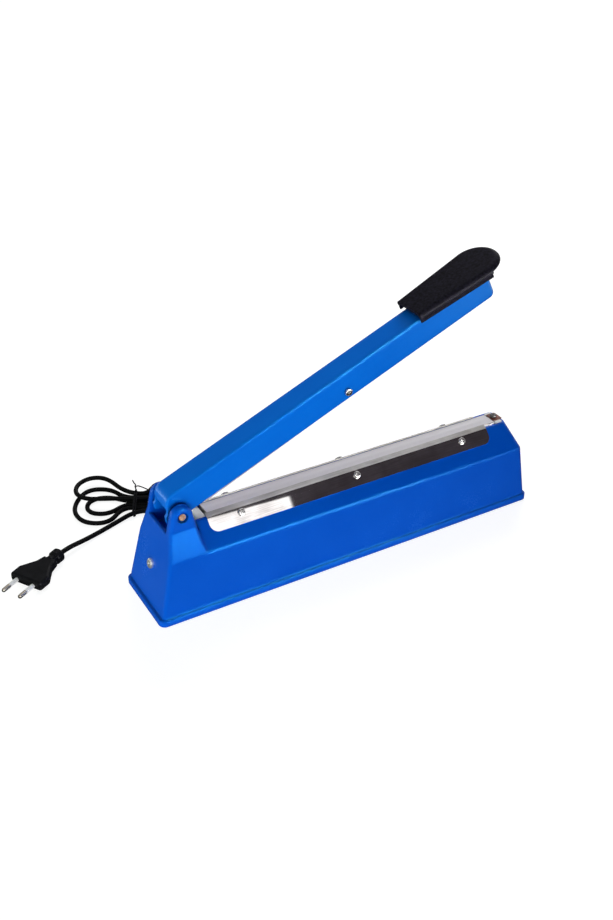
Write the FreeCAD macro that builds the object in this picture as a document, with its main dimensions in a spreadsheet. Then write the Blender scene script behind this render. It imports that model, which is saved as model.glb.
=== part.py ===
import FreeCAD, Part
import math
import os
import re
import Sketcher
from FreeCAD import Placement, Rotation, Vector

# Impulse heat sealer: hollow base with two hinge ears, a seal bar in its ridge, and a sprung arm.
# Frame: X along the base towards the handle end, Y to the back, Z up, origin under the middle of the base.

doc = FreeCAD.newDocument("impulse_heat_sealer")
sheet = doc.addObject("Spreadsheet::Sheet", "sizes")

driving_sizes = [
    # base housing
    ("base_length", 400.0), ("base_width", 79.0), ("foot_stand", 0.8), ("rim_height", 7.0),
    ("rim_step", 1.2), ("side_slope", 0.098), ("hinge_end_slope", 0.222), ("handle_end_slope", 0.107),
    ("roof_slope", 1.02), ("roof_end_slope", 0.31), ("ridge_half", 11.93), ("wall", 2.8),
    ("corner_round", 5.0), ("ear_round", 3.0), ("deck_height", 70.0), ("ridge_rise", 10.0),
    ("bar_slot_width", 19.2), ("slot_inset", 50.0), ("ridge_end_wall", 3.0),
    # hinge
    ("pin_rise", 26.5), ("ear_radius", 10.0), ("ear_face", 24.7), ("ear_thickness", 7.0),
    ("ear_lean", 0.3127), ("ear_front_slope", 0.2), ("end_wall_drop", 15.5), ("pin_radius", 3.25),
    ("pin_recess_radius", 4.9), ("pin_recess_depth", 2.0), ("pin_stand", 1.2), ("pin_chamfer", 0.4),
    ("running_gap", 0.06), ("spacer_radius", 6.0), ("spacer_slack", 0.3), ("open_angle", 22.75),
    ("closed_gap", 0.2),
    # seal bar, measured in from the ends of the base
    ("bar_inset", 62.5), ("bar_end_gap", 1.5), ("bar_width", 18.0), ("bar_chamfer", 1.0),
    ("seal_rise", 12.0), ("layer", 0.3), ("ribbon_width", 2.5), ("ribbon_stand", 1.1),
    ("ribbon_overlap", 1.6), ("tape_width", 14.0), ("cloth_width", 15.6), ("plate_inset", 60.0),
    ("plate_end_inset", 39.0), ("plate_thickness", 0.8), ("plate_lip_edge", 7.9), ("plate_foot", 22.3),
    ("plate_corner", 8.0), ("screw_inset", 31.5), ("screw_down", 3.3), ("left_block_inset", 52.5),
    ("left_block_length", 8.0), ("right_block_gap", 0.48), ("right_block_length", 7.0),
    ("block_clearance", 0.1),
    # screws
    ("small_screw_radius", 1.5), ("fit_gap", 0.1), ("tip_gap", 1.0), ("small_head", 3.0),
    ("small_head_height", 1.8), ("plate_head", 3.4), ("plate_head_height", 1.9),
    ("plate_screw_length", 5.0), ("terminal_head", 3.2), ("terminal_head_height", 2.4),
    ("terminal_screw_length", 7.0), ("washer_radius", 3.4), ("washer_thickness", 0.6),
    ("bottom_head_height", 1.6), ("bottom_screw_length", 11.0),
    # arm and grip, measured along and square to the arm from the hinge pin
    ("arm_short", 55.0), ("arm_low", -6.3), ("arm_top", 17.6), ("arm_low_width", 29.8),
    ("arm_top_width", 24.6), ("arm_wall", 2.2), ("arm_rear", 5.0), ("arm_heel", 12.5), ("arm_boss", 9.0),
    ("arm_nose_round", 5.0), ("arm_edge_round", 1.5), ("grip_length", 77.5), ("grip_turn_inset", 3.0),
    ("grip_start_width", 37.0), ("grip_width", 48.0), ("grip_low", 17.0), ("grip_lip", 21.5),
    ("lip_step", 1.2), ("grip_top", 27.0), ("grip_wall", 3.0), ("grip_roof", 3.6), ("grip_round", 5.0),
    ("nose_gap", 1.0), ("saddle_width", 22.0), ("saddle_inset", 10.5), ("grip_screw_first", 26.0),
    ("grip_screw_second", 62.0), ("grip_screw_reach", 6.0),
    # press bar
    ("press_pivot_level", -0.4), ("pivot_radius", 2.0), ("pivot_head", 3.6), ("pivot_head_height", 2.2),
    ("pivot_nut_height", 3.0), ("pivot_spacer_radius", 3.5), ("press_start", 28.0),
    ("press_end_inset", 11.0), ("press_tilt", 0.6), ("holder_width", 15.0), ("holder_wall", 1.5),
    ("holder_low", -9.5), ("holder_top", 4.0), ("strip_top", -3.2), ("strip_round", 1.2),
    # switch and return spring between the ears
    ("switch_reach", 10.1), ("rod_side", 6.0), ("rod_radius", 2.5), ("rod_drop", 12.0), ("rod_chamfer", 0.6),
    ("rod_gap", 0.3), ("collar_gap", 0.3), ("collar_height", 2.0), ("collar_step", 1.5),
    ("plunger_radius", 1.2), ("plunger_length", 5.0), ("actuator_tip", -2.0), ("stud_radius", 2.0),
    ("stud_flange", 3.5), ("stud_flange_height", 3.0), ("switch_stroke", 2.0), ("switch_length", 28.0),
    ("switch_thickness", 10.4), ("switch_height", 16.0), ("bracket_thickness", 1.2), ("bracket_foot", 7.0),
    ("bracket_length", 22.0), ("spring_side", -5.0), ("spring_mean_radius", 3.8), ("spring_wire", 1.0),
    ("spring_turns", 7.0), ("spring_boss_radius", 5.0), ("spring_boss_low", 3.2),
    # bottom and inside
    ("plate_level", 2.0), ("bottom_thickness", 1.2), ("bottom_gap", 0.3), ("foot_radius", 7.0),
    ("foot_chamfer", 0.6), ("foot_step", 18.0), ("foot_inset", 7.0), ("boss_radius", 4.0),
    ("boss_inset", 35.0), ("boss_side", 8.5), ("boss_height", 25.0), ("boss_hole", 14.0),
    ("core_length", 66.0), ("core_headroom", 7.8), ("core_stack", 32.0), ("core_leg", 22.0),
    ("core_window", 11.0), ("core_window_height", 33.0), ("coil_overhang", 9.0), ("coil_clearance", 0.2),
    ("coil_round", 4.0), ("transformer_gap", 2.0), ("strap_thickness", 1.2), ("strap_width", 20.0),
    ("strap_foot", 12.0), ("board_length", 70.0), ("board_width", 44.0), ("board_thickness", 1.6),
    ("board_inset", 140.0), ("standoff_height", 8.0), ("standoff_radius", 2.5), ("standoff_bore", 1.2),
    ("standoff_inset", 4.0), ("relay_length", 19.0), ("relay_width", 15.5), ("relay_height", 15.5),
    ("relay_along", -14.5), ("relay_round", 1.0), ("terminals_length", 36.0), ("terminals_width", 8.0),
    ("terminals_height", 10.0), ("terminals_side", 15.0), ("can_radius", 5.0), ("can_height", 12.0),
    ("can_along", 4.0), ("can_pitch", 13.0),
    # back wall: timer, pilot lamp and cord
    ("timer_inset", 60.0), ("timer_up", 34.0), ("pot_radius", 8.0), ("pot_depth", 9.0), ("bush_length", 6.0),
    ("nut_radius", 6.0), ("nut_height", 2.2), ("knob_radius", 12.0), ("knob_height", 14.0),
    ("knob_wall", 3.5), ("knob_gap", 1.0), ("knob_flange", 2.0), ("shaft_radius", 3.0),
    ("shaft_inside", 5.0), ("shaft_out", 12.0), ("bush_radius", 3.9), ("lamp_pitch", 36.0),
    ("lamp_radius", 4.0), ("lamp_depth", 12.0), ("lamp_flange", 1.4), ("lamp_dome", 3.8),
    ("cord_inset", 100.0), ("cord_up", 16.0), ("cord_diameter", 4.6), ("relief_length", 24.0),
    ("relief_neck", 4.4), ("relief_flange", 2.0), ("end_screw_up", 42.0), ("end_screw_radius", 4.7),
    ("end_screw_head", 2.6), ("end_screw_length", 9.0),
    # plug, measured from where the cord leaves the base
    ("plug_width", 35.2), ("plug_thickness", 9.6), ("plug_length", 36.0), ("plug_collar", 13.0),
    ("plug_corner", 3.0), ("plug_edge", 3.0), ("plug_neck", 5.4), ("plug_ring", 6.7),
    ("plug_floor_gap", 0.15), ("prong_spacing", 18.6), ("prong_radius", 2.0), ("prong_length", 19.0),
    ("prong_tip", 1.2), ("sleeve_length", 10.0), ("sleeve_wall", 0.7), ("plug_left", 182.9),
    ("plug_behind", 34.6), ("plug_turn", -148.74),
    # hank of the cord
    ("hank_left", 45.5), ("hank_behind", 107.5), ("hank_turn", -28.1), ("tie_width", 3.0),
    ("tie_thickness", 0.8), ("tie_clearance", 0.15),
]

# Places that follow from the sizes above
derived_sizes = [
    ("ridge_height", "deck_height + ridge_rise"), ("roof_run", "base_width / 2 - rim_step - ridge_half"),
    ("shoulder_height", "(ridge_height - roof_run * roof_slope) / (1 - side_slope * roof_slope)"),
    ("seal_height", "deck_height + seal_rise"), ("pin_height", "deck_height + pin_rise"),
    ("end_wall_top", "pin_height - end_wall_drop"), ("rod_low", "deck_height - rod_drop"),
    ("shoulder_half", "base_width / 2 - rim_step - shoulder_height * side_slope"),
    ("ear_break_height", "shoulder_height + (shoulder_half - ear_face) / ear_lean"),
    ("roof_end", "base_length / 2 - rim_step - shoulder_height * handle_end_slope"),
    ("ridge_end", "roof_end - (ridge_height - shoulder_height) * roof_end_slope"),
    ("slot_start", "slot_inset - base_length / 2"), ("bar_start", "bar_inset - base_length / 2"),
    ("plate_start", "plate_inset - base_length / 2"),
    ("plate_end", "base_length / 2 - plate_end_inset"),
    ("left_block_start", "left_block_inset - base_length / 2"),
    ("left_block_end", "left_block_start + left_block_length"),
    ("right_block_end", "ridge_end - ridge_end_wall - right_block_gap"),
    ("right_block_start", "right_block_end - right_block_length"),
    ("bar_end", "right_block_start - bar_end_gap"),
    ("arm_end", "base_length - arm_short"), ("grip_start", "arm_end - grip_length"),
    ("grip_turn", "arm_end - grip_turn_inset"), ("saddle_start", "grip_start + saddle_inset"),
    ("press_end", "arm_end - press_end_inset"), ("press_pivot", "(press_start + press_end) / 2"),
    ("boss_along", "base_length / 2 - boss_inset"), ("boss_across", "base_width / 2 - boss_side"),
    ("core_height", "deck_height - wall - plate_level - bottom_thickness - strap_thickness - core_headroom"),
    ("timer_along", "base_length / 2 - timer_inset"), ("lamp_along", "timer_along - lamp_pitch"),
    ("transformer_middle", "lamp_along - transformer_gap - core_length / 2"),
    ("board_middle", "board_inset - base_length / 2"), ("cord_along", "cord_inset - base_length / 2"),
    ("plug_x", "cord_along - plug_left"), ("plug_y", "base_width / 2 + plug_behind"),
    ("plug_axis", "plug_ring + plug_floor_gap"),
    ("hank_x", "cord_along - hank_left"), ("hank_y", "base_width / 2 + hank_behind"),
]
for row, (alias, size) in enumerate(driving_sizes + derived_sizes, start=1):
    sheet.set("A%d" % row, alias)
    sheet.set("B%d" % row, f"={size}")
    sheet.setAlias("B%d" % row, alias)
doc.recompute()

all_names = "|".join(alias for alias, _ in driving_sizes + derived_sizes)
alias_pattern = re.compile(rf"\b({all_names})\b")


def formula(text):
    return alias_pattern.sub(r"sizes.\1", str(text))


def value(text):
    result = sheet.evalExpression(formula(text))
    return float(getattr(result, "Value", result))


def bind(item, sizes_of):
    for path, text in sizes_of.items():
        item.setExpression(path, formula(text))


# Outer surfaces of the base at a height, as formulas of the sheet

def hinge_end_x(height):
    return f"(-(base_length / 2 - rim_step) + ({height}) * hinge_end_slope)"


def handle_end_x(height):
    return f"(base_length / 2 - rim_step - ({height}) * handle_end_slope)"


def side_y(height):
    return f"(base_width / 2 - rim_step - ({height}) * side_slope)"


def roof_y(height):
    return f"(shoulder_half - (({height}) - shoulder_height) / roof_slope)"


def roof_end_x(height):
    return f"(roof_end - (({height}) - shoulder_height) * roof_end_slope)"


pin_x = f"({hinge_end_x('pin_height')} + ear_radius * sqrt(1 + hinge_end_slope ^ 2))"
ear_inner = "(ear_face - ear_thickness)"
plate_top = "(plate_level + bottom_thickness)"
bar_top = "(seal_height - 3 * layer)"
screw_bore = "small_screw_radius + fit_gap"
strip_low = "(seal_height + closed_gap - pin_height)"


def plane_of(body, role):
    return [item for item in body.Origin.OriginFeatures if item.Role == role][0]


class Piece:
    """A body of the document, built up from outlines whose points are formulas of the sheet."""

    def __init__(self, label):
        self.body = doc.addObject("PartDesign::Body", label)
        self.label = label
        self.count = 0

    def name(self, kind):
        self.count += 1
        return f"{self.label}_{kind}_{self.count}"

    def sketch(self, role, offset):
        sketch = self.body.newObject("Sketcher::SketchObject", self.name("outline"))
        sketch.AttachmentSupport = (plane_of(self.body, role), "")
        sketch.MapMode = "FlatFace"
        bind(sketch, {"AttachmentOffset.Base.z": offset})
        return sketch

    def place_point(self, sketch, geometry, end, x, y):
        for kind, axis, text in (("DistanceX", -2, x), ("DistanceY", -1, y)):
            size = value(text)
            if abs(size) < 1e-9:
                sketch.addConstraint(Sketcher.Constraint("PointOnObject", geometry, end, axis))
            else:
                index = sketch.addConstraint(Sketcher.Constraint(kind, -1, 1, geometry, end, size))
                sketch.setExpression(f"Constraints[{index}]", formula(text))

    def outline(self, role, loops, offset="0"):
        sketch = self.sketch(role, offset)
        for loop in loops:
            first = sketch.GeometryCount
            spots = [Vector(value(x), value(y), 0) for x, y in loop]
            for start, end in zip(spots, spots[1:] + spots[:1]):
                sketch.addGeometry(Part.LineSegment(start, end), False)
            for index in range(len(loop)):
                after = first + (index + 1) % len(loop)
                sketch.addConstraint(Sketcher.Constraint("Coincident", first + index, 2, after, 1))
            for index, (x, y) in enumerate(loop):
                self.place_point(sketch, first + index, 1, x, y)
        return sketch

    def circles(self, role, spots, radius, offset="0"):
        sketch = self.sketch(role, offset)
        for x, y in spots:
            centre = Vector(value(x), value(y), 0)
            circle = sketch.addGeometry(Part.Circle(centre, Vector(0, 0, 1), value(radius)), False)
            self.place_point(sketch, circle, 3, x, y)
            index = sketch.addConstraint(Sketcher.Constraint("Radius", circle, value(radius)))
            sketch.setExpression(f"Constraints[{index}]", formula(radius))
        return sketch

    def feature(self, kind, sketch, length, symmetric=False, reverse=False):
        item = self.body.newObject(f"PartDesign::{kind}", self.name(kind.lower()))
        item.Profile = sketch
        item.Reversed = reverse
        item.SideType = "Symmetric" if symmetric else "One side"
        bind(item, {"Length": length})
        return item

    def pad(self, sketch, length, symmetric=False, reverse=False):
        return self.feature("Pad", sketch, length, symmetric, reverse)

    def pocket(self, sketch, length, symmetric=False, reverse=False):
        doc.recompute()
        before = self.body.Shape.Volume
        item = self.feature("Pocket", sketch, length, symmetric, reverse)
        doc.recompute()
        if self.body.Shape.Volume >= before - 1e-6:
            raise RuntimeError(f"{item.Name} cuts nothing")
        return item

    def loft(self, kind, sections):
        item = self.body.newObject(f"PartDesign::{kind}", self.name("loft"))
        item.Profile = sections[0]
        item.Sections = sections[1:]
        item.Ruled = True
        return item

    def turned(self, loop, role="XZ_Plane", axis="V_Axis"):
        sketch = self.outline(role, [loop])
        item = self.body.newObject("PartDesign::Revolution", self.name("turned"))
        item.Profile = sketch
        item.ReferenceAxis = (sketch, [axis])
        item.Angle = 360
        return item

    def rounded(self, radius, wanted, kind="Fillet"):
        doc.recompute()
        base = self.body.Tip
        edges = [f"Edge{number}" for number, edge in enumerate(base.Shape.Edges, start=1) if wanted(edge)]
        if not edges:
            raise RuntimeError(f"{self.label} has no such edge")
        item = self.body.newObject(f"PartDesign::{kind}", self.name(kind.lower()))
        item.Base = (base, edges)
        bind(item, {"Radius" if kind == "Fillet" else "Size": radius})
        return item


def place(item, x="0", y="0", z="0", axis=None, angle="0"):
    if axis is not None:
        item.Placement = Placement(Vector(), Rotation(axis, value(angle)))
        bind(item, {"Placement.Rotation.Angle": angle})
    bind(item, {"Placement.Base.x": x, "Placement.Base.y": y, "Placement.Base.z": z})


def mirrored(loop):
    return [(f"-({x})", y) for x, y in loop]


def rectangle(low_x, high_x, low_y, high_y):
    return [(low_x, low_y), (high_x, low_y), (high_x, high_y), (low_x, high_y)]


def around(half, low_x, high_x):
    return rectangle(low_x, high_x, f"-({half})", half)


# Places on the leaning back wall and on the arm

back_tilt = "-(90 deg - atan(side_slope))"
across_x = Vector(1, 0, 0)
across_y = Vector(0, 1, 0)


def on_back_wall(item, along, up):
    place(item, along, side_y(up), up, across_x, back_tilt)


def on_arm(item):
    place(item, pin_x, "0", "pin_height", across_y, "-open_angle")


nodes = []


def keep(item):
    nodes.append(item.body if isinstance(item, Piece) else item)
    return item


def middle(edge):
    return edge.valueAt((edge.FirstParameter + edge.LastParameter) / 2)


def base_section(piece, height, inset, top=False):
    side = roof_y(height) if top else side_y(height)
    end = roof_end_x(height) if top else handle_end_x(height)
    loop = around(f"{side} - {inset}", f"{hinge_end_x(height)} + {inset}", f"{end} - {inset}")
    return piece.outline("XY_Plane", [loop], height)


def make_base_housing():
    piece = Piece("base_housing")
    profile = [(hinge_end_x("foot_stand"), "foot_stand"), (handle_end_x("foot_stand"), "foot_stand"),
               ("roof_end", "shoulder_height"), ("ridge_end", "ridge_height"),
               (hinge_end_x("ridge_height"), "ridge_height")]
    piece.pad(piece.outline("XZ_Plane", [profile]), "base_width", symmetric=True)
    clear = "(pin_height + 2 * ear_radius)"
    outside = "base_width"
    section = [(side_y("foot_stand"), "foot_stand"), ("shoulder_half", "shoulder_height"),
               ("ridge_half", "ridge_height"), ("ridge_half", clear), (outside, clear),
               (outside, "foot_stand")]
    piece.pocket(piece.outline("YZ_Plane", [section, mirrored(section)]), "2 * base_length", symmetric=True)
    # hinge ears: a tapered block with a round top, trimmed outside and slotted between the ears
    lean = "sqrt(1 + ear_front_slope ^ 2)"
    end_lean = "sqrt(1 + hinge_end_slope ^ 2)"
    ear_foot = f"{pin_x} + ear_radius * {lean} + (pin_height - shoulder_height) * ear_front_slope"
    ear = [
        (hinge_end_x("shoulder_height"), "shoulder_height"),
        (ear_foot, "shoulder_height"),
        (f"{pin_x} + ear_radius / {lean}", f"pin_height + ear_radius * ear_front_slope / {lean}"),
        (f"{pin_x} - ear_radius / {end_lean}", f"pin_height + ear_radius * hinge_end_slope / {end_lean}"),
    ]
    ear_span = "2 * shoulder_half"
    piece.pad(piece.outline("XZ_Plane", [ear]), ear_span, symmetric=True)
    piece.pad(piece.circles("XZ_Plane", [(pin_x, "pin_height")], "ear_radius"), ear_span, symmetric=True)
    trim = [("ear_face", clear), ("ear_face", "ear_break_height"),
            ("shoulder_half", "shoulder_height"), (outside, "shoulder_height"), (outside, clear)]
    piece.pocket(piece.outline("YZ_Plane", [trim, mirrored(trim)]), "2 * base_length", symmetric=True)
    inner_x = f"({hinge_end_x('end_wall_top')} + wall)"
    slot = [("-base_length", "end_wall_top"), (inner_x, "end_wall_top"),
            (f"{hinge_end_x('deck_height')} + wall", "deck_height"), ("slot_start", "deck_height"),
            ("slot_start", clear), ("-base_length", clear)]
    piece.pocket(piece.outline("XZ_Plane", [slot]), f"2 * {ear_inner}", symmetric=True)
    # slot for the seal bar along the ridge
    bar_slot = rectangle("slot_start - wall", "ridge_end - ridge_end_wall", "deck_height",
                         "ridge_height + wall")
    piece.pocket(piece.outline("XZ_Plane", [bar_slot]), "bar_slot_width", symmetric=True)
    piece.rounded("ear_round", hinge_end_edge)
    piece.rounded("corner_round", handle_end_edge)
    # rim round the foot
    rim = around("base_width / 2", "-base_length / 2", "base_length / 2")
    piece.pad(piece.outline("XY_Plane", [rim], "foot_stand"), "rim_height - foot_stand")
    half_length = value("base_length / 2")
    piece.rounded("corner_round + rim_step",
                  lambda edge: upright(edge) and abs(middle(edge).x) > half_length - 0.01)
    rim_top = value("rim_height")
    piece.rounded("rim_step * 0.7", lambda edge: flat_at(edge, rim_top) and outer_rim(edge))
    # inside of the shell
    roof_low = "deck_height - wall"
    piece.loft("SubtractiveLoft", [base_section(piece, "foot_stand", "wall"),
                                   base_section(piece, "shoulder_height - wall / 2", "wall")])
    doc.recompute()
    piece.loft("SubtractiveLoft", [base_section(piece, "shoulder_height - wall / 2", "wall"),
                                   base_section(piece, roof_low, "1.4 * wall", True)])
    corners = [(f"{x}boss_along", f"{y}boss_across") for x in ("", "-") for y in ("", "-")]
    piece.pad(piece.circles("XY_Plane", corners, "boss_radius", plate_top), f"boss_height - {plate_top}")
    piece.pocket(piece.circles("XY_Plane", corners, screw_bore, plate_top), "boss_hole",
                 reverse=True)
    # holes: hinge pin, push rod, timer bush, lamp, cord and end screw
    pin_spot = [(pin_x, "pin_height")]
    pin_hole = piece.circles("XZ_Plane", pin_spot, "pin_radius + running_gap")
    piece.pocket(pin_hole, "base_width", symmetric=True)
    for offset, reverse in (("ear_face - pin_recess_depth", True), ("-ear_face + pin_recess_depth", False)):
        piece.pocket(piece.circles("XZ_Plane", pin_spot, "pin_recess_radius", offset), "base_width / 2",
                     reverse=reverse)
    rod_spot = [(f"{pin_x} + switch_reach", "rod_side")]
    piece.pocket(piece.circles("XY_Plane", rod_spot, "rod_radius + 1.5 * fit_gap", "deck_height + wall"),
                 "wall * 3")
    for along, up, radius in (("timer_along", "timer_up", "bush_radius + fit_gap"),
                              ("lamp_along", "timer_up", "lamp_radius + fit_gap"),
                              ("cord_along", "cord_up", "relief_neck + fit_gap")):
        hole = piece.body.newObject("PartDesign::SubtractiveCylinder", piece.name("hole"))
        bind(hole, {"Radius": radius, "Height": "6 * wall"})
        place(hole, along, f"{side_y(up)} - 3 * wall", f"{up} - 3 * wall * side_slope", across_x, back_tilt)
    hole = piece.body.newObject("PartDesign::SubtractiveCylinder", piece.name("hole"))
    bind(hole, {"Radius": "end_screw_radius / 2 + fit_gap", "Height": "6 * wall"})
    place(hole, f"{hinge_end_x('end_screw_up')} + 3 * wall", "0", "end_screw_up - 3 * wall * hinge_end_slope",
          across_y, end_tilt)
    for along in plate_screw_places:
        for sign in (-1, 1):
            roof_hole(piece, along, sign)
    return keep(piece)


end_tilt = "-(90 deg - atan(hinge_end_slope))"


def upright(edge):
    first, last = edge.Vertexes[0].Point, edge.Vertexes[-1].Point
    return abs(first.x - last.x) < 1e-6 and abs(first.y - last.y) < 1e-6


def flat_at(edge, height):
    return all(abs(vertex.Z - height) < 1e-6 for vertex in edge.Vertexes)


def outer_rim(edge):
    spot = middle(edge)
    if edge.Curve.TypeId == "Part::GeomCircle":
        return abs(edge.Curve.Radius - value("corner_round + rim_step")) < 1e-6
    return abs(spot.x) > value("base_length / 2") - 0.01 or abs(spot.y) > value("base_width / 2") - 0.01


def standing(edge):
    heights = [vertex.Z for vertex in edge.Vertexes]
    return max(heights) - min(heights) > value("wall")


def hinge_end_edge(edge):
    spot = middle(edge)
    if abs(spot.y) < value(ear_inner) + 0.01:
        return False
    on_end = abs(spot.x - value(hinge_end_x(spot.z))) < 0.01
    ear_top = edge.Curve.TypeId == "Part::GeomCircle"
    on_front = spot.x < value("slot_start + wall") and spot.z > value("shoulder_height") and standing(edge)
    return ear_top or on_end and standing(edge) or on_front


def handle_end_edge(edge):
    spot = middle(edge)
    return standing(edge) and spot.x > value("right_block_start") and abs(spot.y) > value("bar_slot_width")


def bar(label, loop, start, end):
    piece = Piece(label)
    piece.pad(piece.outline("YZ_Plane", [loop], start), f"({end}) - ({start})")
    return keep(piece)


# Fasteners and other small turned pieces, one node for each alike set

def face_turned(profile):
    spots = [Vector(value(radius), 0, value(height)) for radius, height in profile]
    face = Part.Face(Part.makePolygon(spots + spots[:1]))
    return face.revolve(Vector(), Vector(0, 0, 1), 360)


def pan_screw(head, head_height, shank, length):
    return [("0", f"-({length})"), (shank, f"-({length})"), (shank, "0"), (head, "0"),
            (head, f"0.55 * ({head_height})"), (f"0.62 * ({head})", head_height), ("0", head_height)]


def tube(outer, inner, low, high):
    return [(inner, low), (outer, low), (outer, high), (inner, high)]


def frame_at(x, y, z, facing):
    return Placement(Vector(value(x), value(y), value(z)), Rotation(Vector(0, 0, 1), facing))


def turned_set(label, profile, frames):
    solid = face_turned(profile)
    copies = []
    for frame in frames:
        copy = solid.copy()
        copy.Placement = frame
        copies.append(copy)
    item = doc.addObject("Part::Feature", label)
    item.Shape = Part.makeCompound(copies) if len(copies) > 1 else copies[0]
    return keep(item)


up = Vector(0, 0, 1)
to_front = Vector(0, -1, 0)
to_back = Vector(0, 1, 0)


def arm_frame(along, side, level, facing):
    turn = Rotation(across_y, -value("open_angle"))
    start = Vector(value(pin_x), 0, value("pin_height"))
    spot = start + turn.multVec(Vector(value(along), value(side), value(level)))
    return Placement(spot, Rotation(up, turn.multVec(facing)))


def roof_facing(sign):
    slope = value("roof_slope")
    return Vector(0, sign * slope, 1).normalize()


screw_side = "(ridge_half + screw_down)"
screw_seat = f"(shoulder_height + (shoulder_half - {screw_side}) * roof_slope)"
roof_length = "sqrt(1 + roof_slope ^ 2)"
plate_screw_places = ["plate_start + screw_inset", "(plate_start + plate_end) / 2", "plate_end - screw_inset"]


def roof_hole(piece, along, sign):
    depth = "(plate_screw_length + tip_gap)"
    hole = piece.body.newObject("PartDesign::SubtractiveCylinder", piece.name("hole"))
    bind(hole, {"Radius": screw_bore, "Height": f"2 * {depth}"})
    side = f"{sign} * ({screw_side} - {depth} * roof_slope / {roof_length})"
    up_roof = f"{screw_seat} - {depth} / {roof_length}"
    place(hole, along, side, up_roof, across_x, f"{-sign} * atan(roof_slope)")


def make_clamp_plate(label, sign):
    piece = Piece(label)
    lip_run = "(ridge_half - plate_lip_edge)"
    lip_rise = "(seal_height - ridge_height)"
    lip_length = f"sqrt({lip_run} ^ 2 + {lip_rise} ^ 2)"
    roof_out = f"(roof_slope / {roof_length})"
    roof_up = f"(1 / {roof_length})"
    lip_out = f"({lip_rise} / {lip_length})"
    lip_up = f"({lip_run} / {lip_length})"
    bend = f"(plate_thickness / (1 + {roof_out} * {lip_out} + {roof_up} * {lip_up}))"
    foot_up = "(shoulder_height + (shoulder_half - plate_foot) * roof_slope)"
    section = [
        ("plate_foot", foot_up),
        (f"plate_foot + plate_thickness * {roof_out}", f"{foot_up} + plate_thickness * {roof_up}"),
        (f"ridge_half + {bend} * ({roof_out} + {lip_out})",
         f"ridge_height + {bend} * ({roof_up} + {lip_up})"),
        (f"plate_lip_edge + plate_thickness * {lip_out}", f"seal_height + plate_thickness * {lip_up}"),
        ("plate_lip_edge", "seal_height"),
        ("ridge_half", "ridge_height"),
    ]
    loop = section if sign > 0 else mirrored(section)
    piece.pad(piece.outline("YZ_Plane", [loop], "plate_start"), "plate_end - plate_start")
    foot_edge = value(f"{foot_up} + plate_thickness")
    thickness = value("plate_thickness")
    piece.rounded("plate_corner",
                  lambda edge: abs(edge.Length - thickness) < 1e-6 and middle(edge).z < foot_edge)
    for along in plate_screw_places:
        roof_hole(piece, along, sign)
    return keep(piece)


def make_seal_bar():
    half = "bar_width / 2"
    section = [(f"-({half})", "deck_height"), (half, "deck_height"), (half, f"{bar_top} - bar_chamfer"),
               (f"{half} - bar_chamfer", bar_top), (f"-({half} - bar_chamfer)", bar_top),
               (f"-({half})", f"{bar_top} - bar_chamfer")]
    bar("seal_bar", section, "bar_start", "bar_end")
    bar("insulating_tape", around_y("tape_width / 2", bar_top, f"{bar_top} + layer"), "bar_start", "bar_end")
    bar("sealing_cloth", around_y("cloth_width / 2", f"{bar_top} + 2 * layer", "seal_height"), "bar_start",
        "bar_end")
    # the ribbon turns down at the hinge end and runs onto the terminal at the handle end
    piece = Piece("heating_ribbon")
    leg = "(bar_start - ribbon_stand)"
    under = f"({bar_top} + layer)"
    top = f"({bar_top} + 2 * layer)"
    far = "(right_block_start + ribbon_overlap)"
    foot = "deck_height + 2 * block_clearance"
    outline = [(leg, foot), (f"{leg} + layer", foot), (f"{leg} + layer", under), (far, under), (far, top),
               (leg, top)]
    piece.pad(piece.outline("XZ_Plane", [outline]), "ribbon_width", symmetric=True)
    keep(piece)
    block_half = "bar_slot_width / 2 - block_clearance"
    left = bar("left_terminal_block", around_y(block_half, "deck_height", f"{bar_top} - bar_chamfer"),
               "left_block_start", "left_block_end")
    left.rounded("bar_chamfer", lambda edge: flat_at(edge, value(f"{bar_top} - bar_chamfer")))
    right = bar("right_terminal_block", around_y(block_half, "deck_height", under), "right_block_start",
                "right_block_end")
    middle_x = "(right_block_start + right_block_end) / 2"
    hole = right.circles("XY_Plane", [(middle_x, "0")], screw_bore, under)
    right.pocket(hole, "terminal_screw_length + tip_gap")
    turned_set("terminal_washer", tube("washer_radius", screw_bore, "0", "washer_thickness"),
               [frame_at(middle_x, "0", top, up)])
    screw = pan_screw("terminal_head", "terminal_head_height", "small_screw_radius", "terminal_screw_length")
    turned_set("terminal_screw", screw, [frame_at(middle_x, "0", f"{top} + washer_thickness", up)])


def around_y(half, low, high):
    return rectangle(f"-({half})", half, low, high)


arm_middle = "((arm_top + arm_low) / 2)"
arm_half_height = "((arm_top - arm_low) / 2)"
grip_screw_places = ["grip_start + grip_screw_first", "grip_start + grip_screw_second"]


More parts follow.
